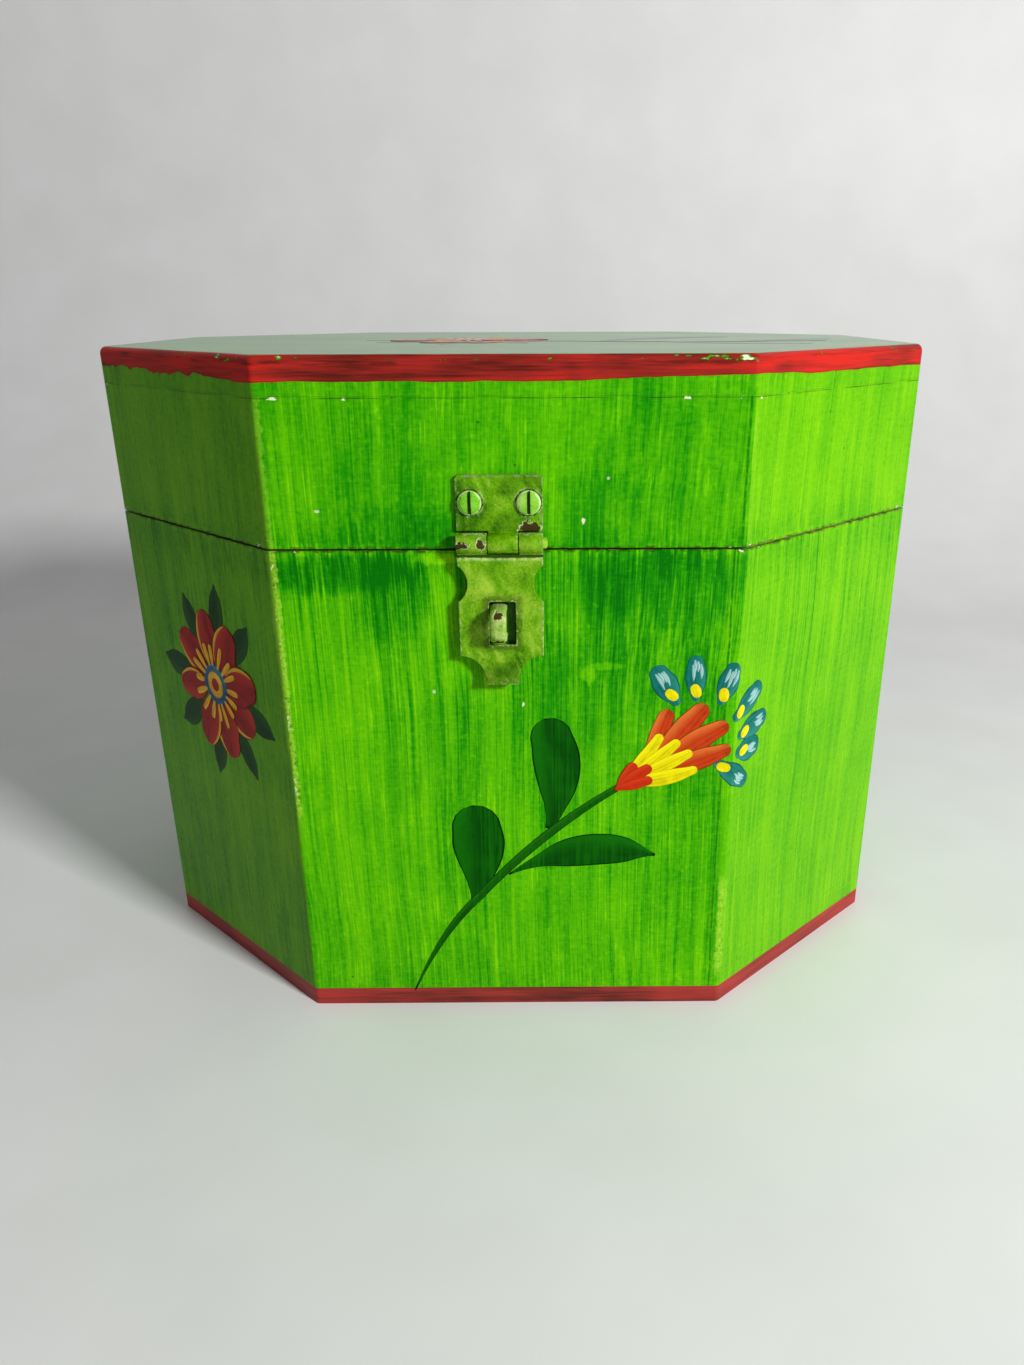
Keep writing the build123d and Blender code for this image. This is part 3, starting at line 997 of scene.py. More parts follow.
@dataclass(frozen=True)
class StrokePaint:
    """Thick paint of one brush stroke, with bristle marks along it and a darker outline.

    Attributes:
        name: the material's name.
        body: its main colour.
        shade: colour at the start of the stroke and in the bristle marks.
        glow: colour along one side and at the tip.
        outline: colour of the line round the stroke.
        line: how wide that line is, against the stroke's width.
        glaze: how much of the wall's up and down streaks show through, from 0 to 1.
        tip: how much the outline's colour gathers at the stroke's far end, from 0 to 1.
        varnish: how much clear coat lies on it, from 0 to 1.
    """

    name: str
    body: Colour
    shade: Colour
    glow: Colour
    outline: Colour
    line: float
    glaze: float
    tip: float
    varnish: float

    def mix(self) -> bpy.types.Material:
        """Makes the material."""
        recipe = Recipe(self.name, gloss=0.05)
        x, y, z = recipe.place()
        along, across = recipe.split(recipe.node("ShaderNodeUVMap", {"uv_map": "UVMap"}), 2)
        bristle = recipe.noise((along * 2.0, across * 9.0, x * 0.02 + z * 0.02), 3.0)
        mottle = recipe.noise((x, y, z), 3.0, 0.45)
        recipe.colour = self.body
        recipe.lay(self.shade, (bristle * 1.6 + mottle * 1.3 + 0.30).rise(0.0, 0.9))
        recipe.lay(self.glow, (across + mottle * 0.35).rise(0.45, 0.95) * (0.35 + along * 0.65))
        if self.glaze > 0:
            hair = recipe.noise((x * 1.7, y * 1.7, z * 0.035), 3.0)
            blot = recipe.noise((x * 0.12, y * 0.12, z * 0.08))
            recipe.lay(self.glow, (hair * 2.2 + blot * 1.6 + 0.4).rise(0.1, 1.0) * self.glaze)
        rim = (abs(across - 0.5) * 2.0).rise(1.0 - self.line * 1.2, 1.0 - self.line * 0.5)
        ends = (abs(along - 0.5) * 2.0).rise(1.0 - self.line, 1.0 - self.line * 0.2)
        if self.tip > 0:
            far = (along + bristle * 0.3 + mottle * 0.25).rise(0.82, 1.0)
            recipe.lay(self.outline, far * self.tip)
        recipe.lay(self.outline, rim.most(ends) * 0.85)
        return recipe.finish(0.32 + bristle * 0.2, bristle + mottle * 0.4, 0.07, self.varnish)

    @staticmethod
    def palette(varnish: float = 0.0, suffix: str = "") -> dict[Pigment, bpy.types.Material]:
        """Every paint of the flowers, mixed once.

        Args:
            varnish: how much clear coat lies on them all, from 0 to 1.
            suffix: ends the materials' names.

        Returns:
            The materials.
        """
        paints: dict[Pigment, bpy.types.Material] = {}
        for pigment in Pigment:
            name, body, shade, glow, outline, *rest = pigment.value
            colours = (srgb(*colour) for colour in (body, shade, glow, outline))
            paints[pigment] = StrokePaint(f"{name}_paint{suffix}", *colours, *rest, varnish).mix()
        return paints


class Bench:
    """Blender's modelling tools, each given just what it works on."""

    @staticmethod
    def alone(*objects: bpy.types.Object) -> None:
        """Selects only these objects, and makes the first one active."""
        bpy.ops.object.select_all(action="DESELECT")
        for one in objects:
            one.select_set(True)
        bpy.context.view_layer.objects.active = objects[0]

    @staticmethod
    def add(name: str, primitive: Callable[..., set[str]], **sizes: object) -> bpy.types.Object:
        """Adds a primitive, with nothing else selected, and names it.

        Args:
            name: the new piece's name.
            primitive: the tool that adds it.
            sizes: the tool's settings.

        Returns:
            The new piece.
        """
        bpy.ops.object.select_all(action="DESELECT")
        primitive(**sizes)
        return Bench.call(name)

    @staticmethod
    def call(name: str) -> bpy.types.Object:
        """Names the active piece and its mesh."""
        made = bpy.context.active_object
        made.name = made.data.name = name
        return made

    @staticmethod
    def edit(piece: bpy.types.Object) -> None:
        """Goes into edit mode on one piece, with all of it selected."""
        Bench.alone(piece)
        bpy.ops.object.mode_set(mode="EDIT")
        bpy.ops.mesh.select_all(action="SELECT")

    @staticmethod
    def leave(piece: bpy.types.Object, smooth: float | None = None) -> None:
        """Goes back to object mode.

        Args:
            piece: the piece.
            smooth: edges flatter than this, in degrees, are shaded as round.
        """
        bpy.ops.object.mode_set(mode="OBJECT")
        if smooth is not None:
            Bench.alone(piece)
            bpy.ops.object.shade_smooth_by_angle(angle=math.radians(smooth))

    @staticmethod
    def pick(piece: bpy.types.Object, kind: str, test: Callable[[object], bool]) -> None:
        """Selects what passes a test in the piece in edit mode.

        Args:
            piece: the piece.
            kind: verts, edges or faces.
            test: says whether one of them is chosen.
        """
        bpy.ops.mesh.select_mode(type={"verts": "VERT", "edges": "EDGE", "faces": "FACE"}[kind])
        mesh = bmesh.from_edit_mesh(piece.data)
        for one in getattr(mesh, kind):
            one.select_set(test(one))
        mesh.select_flush_mode()
        bmesh.update_edit_mesh(piece.data)

    @staticmethod
    def move(offset: Sequence[float]) -> None:
        """Moves what is selected."""
        bpy.ops.transform.translate(value=offset)

    @staticmethod
    def draw(way: Sequence[float]) -> None:
        """Draws what is selected out, leaving walls behind it."""
        bpy.ops.mesh.extrude_region_move(TRANSFORM_OT_translate={"value": way})

    @staticmethod
    def scale(factors: Sequence[float], centre: Sequence[float]) -> None:
        """Scales what is selected about a point."""
        bpy.ops.transform.resize(value=factors, center_override=centre)

    @staticmethod
    def turn(angle: float, axis: str, centre: Sequence[float]) -> None:
        """Turns what is selected about a point, anticlockwise seen from the axis's far end."""
        bpy.ops.transform.rotate(value=-angle, orient_axis=axis, center_override=centre)

    @staticmethod
    def dome(radius: float, rise: float, steps: Sequence[Point]) -> None:
        """Rounds the flat end that is selected.

        Args:
            radius: the end's radius, in metres.
            rise: height of the dome, in metres, or below 0 if the end faces down.
            steps: how far in and how far out each step goes, against radius and rise.
        """
        for inset, step in steps:
            bpy.ops.mesh.inset(thickness=inset * radius)
            Bench.move((0, 0, step * rise))

    @staticmethod
    def apply(piece: bpy.types.Object, kind: str, **settings: object) -> None:
        """Adds a modifier and applies it.

        Args:
            piece: the piece that gets it.
            kind: the modifier's type.
            settings: its own properties.
        """
        Bench.alone(piece)
        modifier = piece.modifiers.new(kind.title(), kind)
        for name, value in settings.items():
            setattr(modifier, name, value)
        bpy.ops.object.modifier_apply(modifier=modifier.name)

    @staticmethod
    def settle(piece: bpy.types.Object) -> None:
        """Puts the object's place, turn and scale into its mesh."""
        Bench.alone(piece)
        bpy.ops.object.transform_apply(location=True, rotation=True, scale=True)

    @staticmethod
    def join(name: str, pieces: Sequence[bpy.types.Object]) -> bpy.types.Object:
        """Joins pieces into one, under a new name."""
        Bench.alone(*pieces)
        bpy.ops.object.join()
        return Bench.call(name)

    @staticmethod
    def copy(piece: bpy.types.Object, place: Matrix) -> bpy.types.Object:
        """Copies a piece, with a mesh of its own.

        Args:
            piece: the pattern.
            place: where the copy goes.

        Returns:
            The copy.
        """
        twin = piece.copy()
        twin.data = piece.data.copy()
        bpy.context.collection.objects.link(twin)
        twin.matrix_world = place
        Bench.settle(twin)
        return twin

    @staticmethod
    def remove(*patterns: bpy.types.Object) -> None:
        """Deletes pattern pieces that have been copied or used."""
        Bench.alone(*patterns)
        bpy.ops.object.delete()


@dataclass(frozen=True)
class Stroke:
    """One pull of the brush on a flat face, in millimetres.

    Attributes:
        start, bend, end: the stroke's middle line, a curve that leans towards bend.
        widths: its width at even steps from start to end.
        pigment: what it is painted with.
        layer: how many strokes lie under it.
        round_start, round_end: whether that end is a full round instead of a cut.
    """

    start: Point
    bend: Point
    end: Point
    widths: tuple[float, ...]
    pigment: Pigment
    layer: int = 0
    round_start: bool = True
    round_end: bool = True

    def middle(self, share: float) -> Vector:
        """The middle line at a share of its length."""
        a, b, c = Vector(self.start), Vector(self.bend), Vector(self.end)
        return a * (1 - share) ** 2 + b * 2 * share * (1 - share) + c * share ** 2

    def heading(self, share: float) -> float:
        """The way the middle line points there, as an angle."""
        a, b, c = Vector(self.start), Vector(self.bend), Vector(self.end)
        way = (b - a) * (1 - share) + (c - b) * share
        return math.atan2(way.y, way.x)

    def width(self, share: float) -> float:
        """The width at a place, on a smooth line through the steps.

        Args:
            share: the place, as a share of the stroke's length.

        Returns:
            The width, in millimetres.
        """
        last = len(self.widths) - 1
        step = min(int(share * last), last - 1)
        past = share * last - step
        before, a, b, after = (self.widths[min(max(step + way, 0), last)] for way in (-1, 0, 1, 2))
        bow = (2 * before - 5 * a + 4 * b - after) * past ** 2
        bow = bow + (3 * a - before - 3 * b + after) * past ** 3
        return max(a + ((b - before) * past + bow) / 2, 0.0)


@dataclass(frozen=True)
class Brush:
    """Lays strokes down as thin, slightly crowned skins of paint.

    Attributes:
        palette: the paints.
        columns: steps along a stroke.
        rows: steps across it.
        coat: thickness of a coat, in millimetres.
        crown: how much the middle of a stroke stands above its sides.
        root: how far a stroke reaches into the board, so that it lies tight on it.
        tip: share of a skin's length that makes a round end.
        thinnest: the least width of a stroke.
    """

    palette: dict[Pigment, bpy.types.Material]
    columns: int = 26
    rows: int = 6
    coat: float = 0.032
    crown: float = 0.024
    root: float = 0.42
    tip: float = 0.14
    thinnest: float = 0.03

    def pull(self, stroke: Stroke) -> bpy.types.Object:
        """Models one stroke on the flat, its face towards +Z.

        Args:
            stroke: what to draw.

        Returns:
            The open skin, with its own paint.
        """
        skin = Bench.add("stroke", bpy.ops.mesh.primitive_grid_add, size=1.0, calc_uvs=True,
                         x_subdivisions=self.columns, y_subdivisions=self.rows)
        columns, rows = self.lines(skin, 0), self.lines(skin, 1)
        Bench.edit(skin)
        for number, row in enumerate(rows[1:-1], start=1):
            across = 2 * number / (len(rows) - 1) - 1
            Bench.pick(skin, "verts", lambda vertex: vertex.index in row)
            Bench.move((0, 0, self.crown * MM * (1 - across * across)))
        for number, column in enumerate(columns):
            share = number / (len(columns) - 1)
            here = (share - 0.5, 0.0, 0.0)
            travel, width, beyond = self.cap(stroke, share)
            heading = stroke.heading(travel)
            middle = stroke.middle(travel) + Vector((math.cos(heading), math.sin(heading))) * beyond
            Bench.pick(skin, "verts", lambda vertex: vertex.index in column)
            Bench.scale((1, max(width, self.thinnest) * MM, 1), here)
            Bench.turn(heading, "Z", here)
            Bench.move((middle.x * MM - here[0], middle.y * MM, 0))
        Bench.leave(skin)
        skin.location.z = (1 + stroke.layer) * self.coat * MM
        Bench.settle(skin)
        skin.data.materials.append(self.palette[stroke.pigment])
        return skin

    def cap(self, stroke: Stroke, share: float) -> tuple[float, float, float]:
        """Where a column stands, once the ends are rounded.

        Args:
            stroke: what is drawn.
            share: how far along the skin the column is.

        Returns:
            The share of the middle line, the width, and how far past its end.
        """
        tip = self.tip
        if share < tip and stroke.round_start:
            arc = (1 - share / tip) * math.pi / 2
            width = stroke.width(0.0)
            return 0.0, width * math.cos(arc), -width / 2 * math.sin(arc)
        if share > 1 - tip and stroke.round_end:
            arc = (1 - (1 - share) / tip) * math.pi / 2
            width = stroke.width(1.0)
            return 1.0, width * math.cos(arc), width / 2 * math.sin(arc)
        low = tip if stroke.round_start else 0.0
        high = 1 - tip if stroke.round_end else 1.0
        travel = (share - low) / (high - low)
        return travel, stroke.width(travel), 0.0

    @staticmethod
    def lines(skin: bpy.types.Object, axis: int) -> list[set[int]]:
        """The vertices of a grid in lines across an axis, in order."""
        found: dict[float, set[int]] = {}
        for vertex in skin.data.vertices:
            found.setdefault(round(vertex.co[axis], 5), set()).add(vertex.index)
        return [found[place] for place in sorted(found)]

    def dab(
        self, pattern: bpy.types.Object, at: Point, turn: float, size: Point, layer: float
    ) -> bpy.types.Object:
        """Copies a stroke that was drawn from the origin along +X.

        Args:
            pattern: the stroke to copy.
            at: where its start goes, in millimetres.
            turn: the way it points, in degrees.
            size: scale along and across.
            layer: how many strokes lie under it.

        Returns:
            The copy.
        """
        place = Matrix.Translation((at[0] * MM, at[1] * MM, layer * self.coat * MM))
        place = place @ Matrix.Rotation(math.radians(turn), 4, "Z")
        return Bench.copy(pattern, place @ Matrix.Diagonal((*size, 1, 1)))

    def dry(self, name: str, skins: Sequence[bpy.types.Object]) -> bpy.types.Object:
        """Joins a motif's strokes, turns mirrored ones face up and gives them their thickness.

        Args:
            name: the motif's name.
            skins: its strokes, on the flat.

        Returns:
            The closed piece.
        """
        motif = Bench.join(name, skins)
        Bench.edit(motif)
        Bench.pick(motif, "faces", lambda face: face.normal.z < 0)
        bpy.ops.mesh.flip_normals()
        Bench.leave(motif)
        Bench.apply(motif, "SOLIDIFY", thickness=self.root * MM, offset=-1.0)
        Bench.leave(motif, smooth=50)
        return motif


@dataclass(frozen=True)
class Face:
    """A painted face of the box, on which flat work is placed.

    Attributes:
        plan: the box from above.
        side: which side, or None for the top of the lid.
        level: height of the top face, in millimetres.
    """

    plan: Plan
    side: Side | None = None
    level: float = 0.0

    def fold(self, motif: bpy.types.Object) -> None:
        """Bends what reaches past the face's right-hand edge round it.

        Args:
            motif: the flat piece, its middle line at x 0.
        """
        edge = self.plan.half_length(self.side) * MM
        Bench.edit(motif)
        bpy.ops.mesh.bisect(plane_co=(edge, 0, 0), plane_no=(1, 0, 0))
        Bench.pick(motif, "verts", lambda vertex: vertex.co.x > edge + 1e-7)
        Bench.turn(math.radians(45), "Y", (edge, 0, 0))
        Bench.leave(motif)

    def place(self, motif: bpy.types.Object) -> None:
        """Carries a flat piece onto the face.

        Args:
            motif: the flat piece, its middle line at x 0.
        """
        if self.side is None:
            motif.location.z = self.level * MM
        else:
            turn = math.radians(self.side.value)
            reach, shift = self.plan.reach(self.side) * MM, self.plan.shift(self.side) * MM
            motif.rotation_euler = Euler((math.pi / 2, 0, turn))
            motif.location.x = math.sin(turn) * reach + math.cos(turn) * shift
            motif.location.y = -math.cos(turn) * reach + math.sin(turn) * shift
        Bench.settle(motif)


@dataclass
class Motif:
    """Painted work on one face.

    Attributes:
        brush: what it is painted with.
        face: the face that carries it.
        body: the CAD body that it rides on.
        slot: the name of the slot for its finish; not used.
    """

    brush: Brush
    face: Face
    body: str
    slot: str

    def hang(
        self, name: str, skins: Sequence[bpy.types.Object], folded: bool = False
    ) -> bpy.types.Object:
        """Dries strokes as one piece and puts it on the face.

        Args:
            name: the piece's name.
            skins: its strokes, on the flat.
            folded: whether it goes round the face's right-hand edge.

        Returns:
            The piece.
        """
        motif = self.brush.dry(name, skins)
        if folded:
            self.face.fold(motif)
        self.face.place(motif)
        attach(motif, self.body)
        return motif


@dataclass
class Sprig(Motif):
    """The sprig on the front: a stem with three leaves, a fiery blossom and blue drops round it."""

    def build(self) -> list[bpy.types.Object]:
        """Paints the sprig on the front and round its right-hand edge."""
        return [
            self.hang("sprig_leaves", self.leaves()),
            self.hang("sprig_blossom", self.blossom()),
            self.hang("sprig_drops", self.drops(), folded=True),
        ]

    def leaves(self) -> list[bpy.types.Object]:
        """The stem and its three leaves."""
        leaf, stem = Pigment.LEAF, Pigment.STEM
        left = Stroke((-11.5, 35.8), (-8.9, 47.0), (-10.4, 59.0), (2.4, 5.6, 9.6, 13.2, 14.8, 13.8),
                      leaf, 0, round_start=False)
        upper = Stroke((10.0, 58.4), (14.4, 73.5), (10.6, 86.0), (2.6, 5.4, 9.8, 12.4, 12.9, 11.4),
                       leaf, 0, round_start=False)
        right = Stroke((-1.6, 44.0), (18.0, 55.8), (39.8, 50.0), (0.6, 3.6, 8.6, 9.9, 8.0, 0.7),
                       leaf, 0, round_start=False, round_end=False)
        stem_low = Stroke((-30.4, 4.6), (-21.0, 26.6), (-9.4, 37.6), (0.5, 1.4, 2.2, 2.4),
                          stem, 1, round_start=False)
        stem_high = Stroke((-10.4, 36.6), (8.0, 58.0), (28.8, 71.0), (2.3, 2.6, 2.5, 2.0), stem, 1)
        return [self.brush.pull(stroke) for stroke in (left, upper, right, stem_low, stem_high)]

    def blossom(self) -> list[bpy.types.Object]:
        """Orange petals, yellow petals over them and the red calyx on top."""
        orange, yellow, calyx = Pigment.ORANGE, Pigment.YELLOW, Pigment.CALYX
        petals = (
            ((37.6, 79.0), (39.2, 86.0), (41.4, 91.8), (3.4, 5.0, 5.2, 4.6), orange),
            ((38.6, 78.0), (45.4, 87.4), (50.4, 93.2), (3.4, 6.0, 6.6, 5.2), orange),
            ((40.4, 77.6), (48.6, 84.6), (56.2, 88.6), (3.4, 5.8, 6.4, 4.6), orange),
            ((41.4, 76.0), (49.6, 78.8), (57.4, 82.0), (3.2, 5.6, 6.0, 4.0), orange),
            ((32.6, 76.0), (36.6, 80.4), (39.6, 85.6), (2.4, 3.6, 3.4, 2.8), yellow),
            ((34.2, 75.4), (39.4, 79.6), (44.2, 84.0), (2.4, 3.8, 3.6, 2.8), yellow),
            ((35.0, 74.4), (42.0, 78.0), (47.6, 81.0), (2.6, 4.0, 3.8, 2.8), yellow),
            ((33.6, 72.8), (42.0, 73.6), (49.2, 76.2), (2.6, 4.4, 4.2, 2.6), yellow),
            ((28.6, 70.8), (31.0, 74.0), (32.6, 77.0), (1.2, 3.2, 3.2), calyx),
            ((28.6, 70.8), (33.0, 74.2), (36.6, 76.6), (1.2, 3.6, 3.0), calyx),
            ((28.6, 70.8), (33.0, 71.8), (37.0, 73.2), (1.2, 3.0, 2.7), calyx),
        )
        return [self.brush.pull(Stroke(*petal, layer)) for layer, petal in enumerate(petals)]

    def drops(self) -> list[bpy.types.Object]:
        """Seven blue drops with a yellow dot and white dry-brush marks, in an arc round the blossom."""
        edge = self.face.plan.half_length(self.face.side)
        spots: tuple[tuple[Point, Point, float], ...] = (
            ((37.6, 106.4), (43.4, 96.8), 6.9),
            ((48.6, 109.0), (49.1, 97.7), 5.7),
            ((59.4, 107.0), (56.1, 96.6), 5.8),
            ((edge + 11.4, 98.8), (edge + 1.0, 91.8), 6.8),
            ((edge + 15.0, 89.0), (edge + 3.4, 85.8), 7.0),
            ((edge + 13.0, 80.9), (edge + 3.4, 80.6), 7.6),
            ((edge + 7.0, 70.4), (edge - 3.6, 77.8), 6.4),
        )
        drop_length, drop_width = 12.0, 6.0
        drop, dot, hair = (
            self.brush.pull(stroke) for stroke in (
                Stroke((0, 0), (5, 0), (10, 0), (4.6, drop_width, 5.2, 2.6), Pigment.BLUE),
                Stroke((-0.7, 0), (0, 0), (0.7, 0), (2.6, 2.9, 2.6), Pigment.YELLOW),
                Stroke((0, 0), (2.5, 0.35), (5, 0), (0.5, 1.0, 0.9, 0.3), Pigment.WHITE),
            )
        )
        skins: list[bpy.types.Object] = []
        chance = random.Random(11)
        for far, near, width in spots:
            span = Vector(near) - Vector(far)
            turn = math.degrees(math.atan2(span.y, span.x))
            size = (span.length / drop_length, width / drop_width)
            ahead = span.normalized()
            sideways = Vector((-ahead.y, ahead.x))
            root = Vector(far) + ahead * (width / 2.6)
            skins.append(self.brush.dab(drop, root[:], turn, size, 0))
            skins.append(self.brush.dab(dot, (Vector(near) - ahead * 1.4)[:], turn + 20, (1.0, 1.0), 2))
            for number in range(4):
                side = (number - 1.2) * 0.74 + chance.uniform(-0.12, 0.12)
                begin = root + ahead * chance.uniform(-0.8, 0.6) + sideways * side
                reach = chance.uniform(0.55, 1.0)
                lean = turn + chance.uniform(-5, 5)
                skins.append(self.brush.dab(hair, begin[:], lean, (reach, 1.0), 1))
        Bench.remove(drop, dot, hair)
        return skins


@dataclass
class Rosette(Motif):
    """A round flower: eight petals with a yellow edge line, stamens, rings and leaves.

    Attributes:
        name: the piece's name.
        centre: where on the face, in millimetres.
        petal_turns, leaf_turns: the way each petal and leaf points, in degrees.
        petal_widths: how wide each petal is.
        petal_lines: on which side of each petal its line runs, 1 for anticlockwise.
        petal_reach: middle to a petal's tip.
        stamen_reach: middle to a stamen's tip.
        ring_reach: radius of the blue ring.
        leaf_reach: middle to a leaf's tip.
    """

    name: str
    centre: Point
    petal_turns: tuple[float, ...] = (146, 98, 58, 10, 332, 284, 245, 191)
    petal_widths: tuple[float, ...] = (11.6, 12.0, 12.6, 12.4, 12.8, 13.2, 11.8, 10.2)
    petal_lines: tuple[int, ...] = (1, 1, 1, 1, -1, -1, 1, -1)
    leaf_turns: tuple[float, ...] = (45, 79, 118, 174, 215, 260, 305, 343)
    petal_reach: float = 22.2
    stamen_reach: float = 12.0
    ring_reach: float = 6.5
    leaf_reach: float = 30.0
    stamens: int = 16

    def build(self) -> bpy.types.Object:
        """Paints the flower on its face."""
        return self.hang(self.name, self.leaves() + self.petals() + self.middle())

    def leaves(self) -> list[bpy.types.Object]:
        """The leaves between the petals."""
        start = self.petal_reach * 0.62
        long = self.leaf_reach - start
        leaf = self.brush.pull(Stroke(
            (0, 0), (long * 0.5, 1.4), (long, 0), (4.4, 6.4, 7.2, 5.6, 0.7), Pigment.SHADED_LEAF,
            round_end=False,
        ))
        chance = random.Random(5)
        skins = []
        for turn in self.leaf_turns:
            size = (chance.uniform(0.88, 1.08), chance.uniform(0.85, 1.12) * chance.choice((1, 1, -1)))
            skins.append(self.brush.dab(leaf, self.out(turn, start), turn, size, 0))
        Bench.remove(leaf)
        return skins

    def petals(self) -> list[bpy.types.Object]:
        """The petals, each over its neighbour, with a thin line along one side."""
        start = self.ring_reach * 0.8
        full, tip = 12.0, 5.0
        long = self.petal_reach - start - tip
        petal = self.brush.pull(Stroke(
            (0, 0), (long * 0.5, 0), (long, 0), (4.0, 8.6, 11.4, full, 2 * tip), Pigment.RED
        ))
        line = self.brush.pull(Stroke(
            (2.0, 3.0), (long * 0.75, full / 2 + 1.0), (long + tip * 0.75, tip * 0.55),
            (0.3, 0.8, 1.1, 0.9, 0.3), Pigment.OCHRE,
        ))
        skins = []
        chance = random.Random(9)
        looks = zip(self.petal_turns, self.petal_widths, self.petal_lines)
        for number, (turn, width, line_side) in enumerate(looks):
            at = self.out(turn, start)
            size = (chance.uniform(0.97, 1.04), width / full)
            layer = 1 + number % 4 * 2
            skins.append(self.brush.dab(petal, at, turn, size, layer))
            skins.append(self.brush.dab(line, at, turn, (size[0], size[1] * line_side), layer + 1))
        Bench.remove(petal, line)
        return skins

    def middle(self) -> list[bpy.types.Object]:
        """The stamens, the blue ring, the yellow ring and the red dot."""
        long = self.stamen_reach - self.ring_reach
        stamen = self.brush.pull(Stroke(
            (0, 0), (long * 0.5, 0), (long - 0.8, 0), (1.2, 2.0, 1.8), Pigment.OCHRE
        ))
        skins = []
        chance = random.Random(3)
        for number in range(self.stamens):
            turn = 360 * number / self.stamens + chance.uniform(-4, 4)
            size = (chance.uniform(0.85, 1.25), chance.uniform(0.85, 1.1))
            skins.append(self.brush.dab(stamen, self.out(turn, self.ring_reach - 0.2), turn, size, 9))
        Bench.remove(stamen)
        x, y = self.centre
        rings = ((Pigment.RING, 1.0), (Pigment.OCHRE, 0.64), (Pigment.RED, 0.30))
        for layer, (pigment, share) in enumerate(rings, start=9):
            widths = (self.ring_reach * share * 2,) * 3
            skins.append(self.brush.pull(
                Stroke((x - 0.06, y), self.centre, (x + 0.06, y), widths, pigment, layer)
            ))
        return skins

    def out(self, turn: float, reach: float) -> Point:
        """The point that lies a reach away from the middle, in the direction turn."""
        angle = math.radians(turn)
        return (self.centre[0] + reach * math.cos(angle), self.centre[1] + reach * math.sin(angle))


@dataclass
class LidSpray(Motif):
    """The stem and leaves beside the flower on top of the lid."""

    def build(self) -> bpy.types.Object:
        """Paints the spray on the lid."""
        leaf, stem = Pigment.LEAF, Pigment.STEM
        strokes = (
            Stroke((8, -8), (50, -34), (96, -14), (1.6, 2.4, 2.2, 0.8), stem, 1),
            Stroke((26, -14), (40, 16), (66, 26), (2.0, 9.0, 13.0, 12.0), leaf),
            Stroke((44, -20), (62, -38), (86, -40), (2.0, 8.0, 11.0, 1.0), leaf, round_end=False),
            Stroke((66, -22), (80, -6), (98, 2), (2.0, 8.0, 9.0, 7.0), leaf),
        )
        return self.hang("lid_spray", [self.brush.pull(stroke) for stroke in strokes])


@dataclass
class RoundScrew:
    """A round-head wood screw with one slot, painted over.

    Attributes:
        head: diameter of the head, in millimetres.
        rise: height of the head.
        slot_width, slot_depth: the slot across it.
        shank: diameter of the shank under the head.
        length: how far the shank reaches into the wood.
        point: share of that length that tapers.
        softening: how much its sharp edges are rounded.
    """

    head: float = 6.0
    rise: float = 1.3
    slot_width: float = 0.75
    slot_depth: float = 0.75
    shank: float = 2.4
    length: float = 8.0
    point: float = 0.3
    softening: float = 0.09

    def pattern(self, material: bpy.types.Material) -> bpy.types.Object:
        """Models the screw, its axis along Z and the head's underside at z 0.

        Args:
            material: its finish.

        Returns:
            The screw, to be copied.
        """
        radius, rise, length = self.head / 2 * MM, self.rise * MM, self.length * MM
        screw = Bench.add("round_screw", bpy.ops.mesh.primitive_cylinder_add, vertices=48,
                          radius=radius, depth=rise * 0.55, location=(0, 0, rise * 0.275))
        Bench.settle(screw)
        Bench.edit(screw)
        Bench.pick(screw, "faces", lambda face: face.normal.z > 0.9)
        Bench.dome(radius, rise, ((0.10, 0.22), (0.22, 0.14), (0.26, 0.07), (0.16, 0.02)))
        Bench.pick(screw, "faces", lambda face: face.normal.z < -0.9)
        bpy.ops.mesh.inset(thickness=radius - self.shank / 2 * MM)
        Bench.draw((0, 0, -length * (1 - self.point)))
        Bench.draw((0, 0, -length * self.point))
        Bench.scale((0.12, 0.12, 1), (0, 0, -length))
        Bench.leave(screw)
        self.cut_slot(screw)
        Bench.apply(screw, "BEVEL", width=self.softening * MM, segments=2, limit_method="ANGLE",
                    angle_limit=math.radians(50))
        Bench.leave(screw, smooth=40)
        screw.data.materials.clear()
        screw.data.materials.append(material)
        return screw

    def cut_slot(self, screw: bpy.types.Object) -> None:
        """Cuts the slot across the head, along Y.

        Args:
            screw: the screw without its slot.
        """
        saw = Bench.add("slot_saw", bpy.ops.mesh.primitive_cube_add, size=1,
                        location=(0, 0, self.rise * MM))
        saw.scale = (self.slot_width * MM, self.head * 1.2 * MM, self.slot_depth * 2 * MM)
        Bench.settle(saw)
        Bench.apply(screw, "BOOLEAN", operation="DIFFERENCE", object=saw, solver="EXACT")
        Bench.remove(saw)


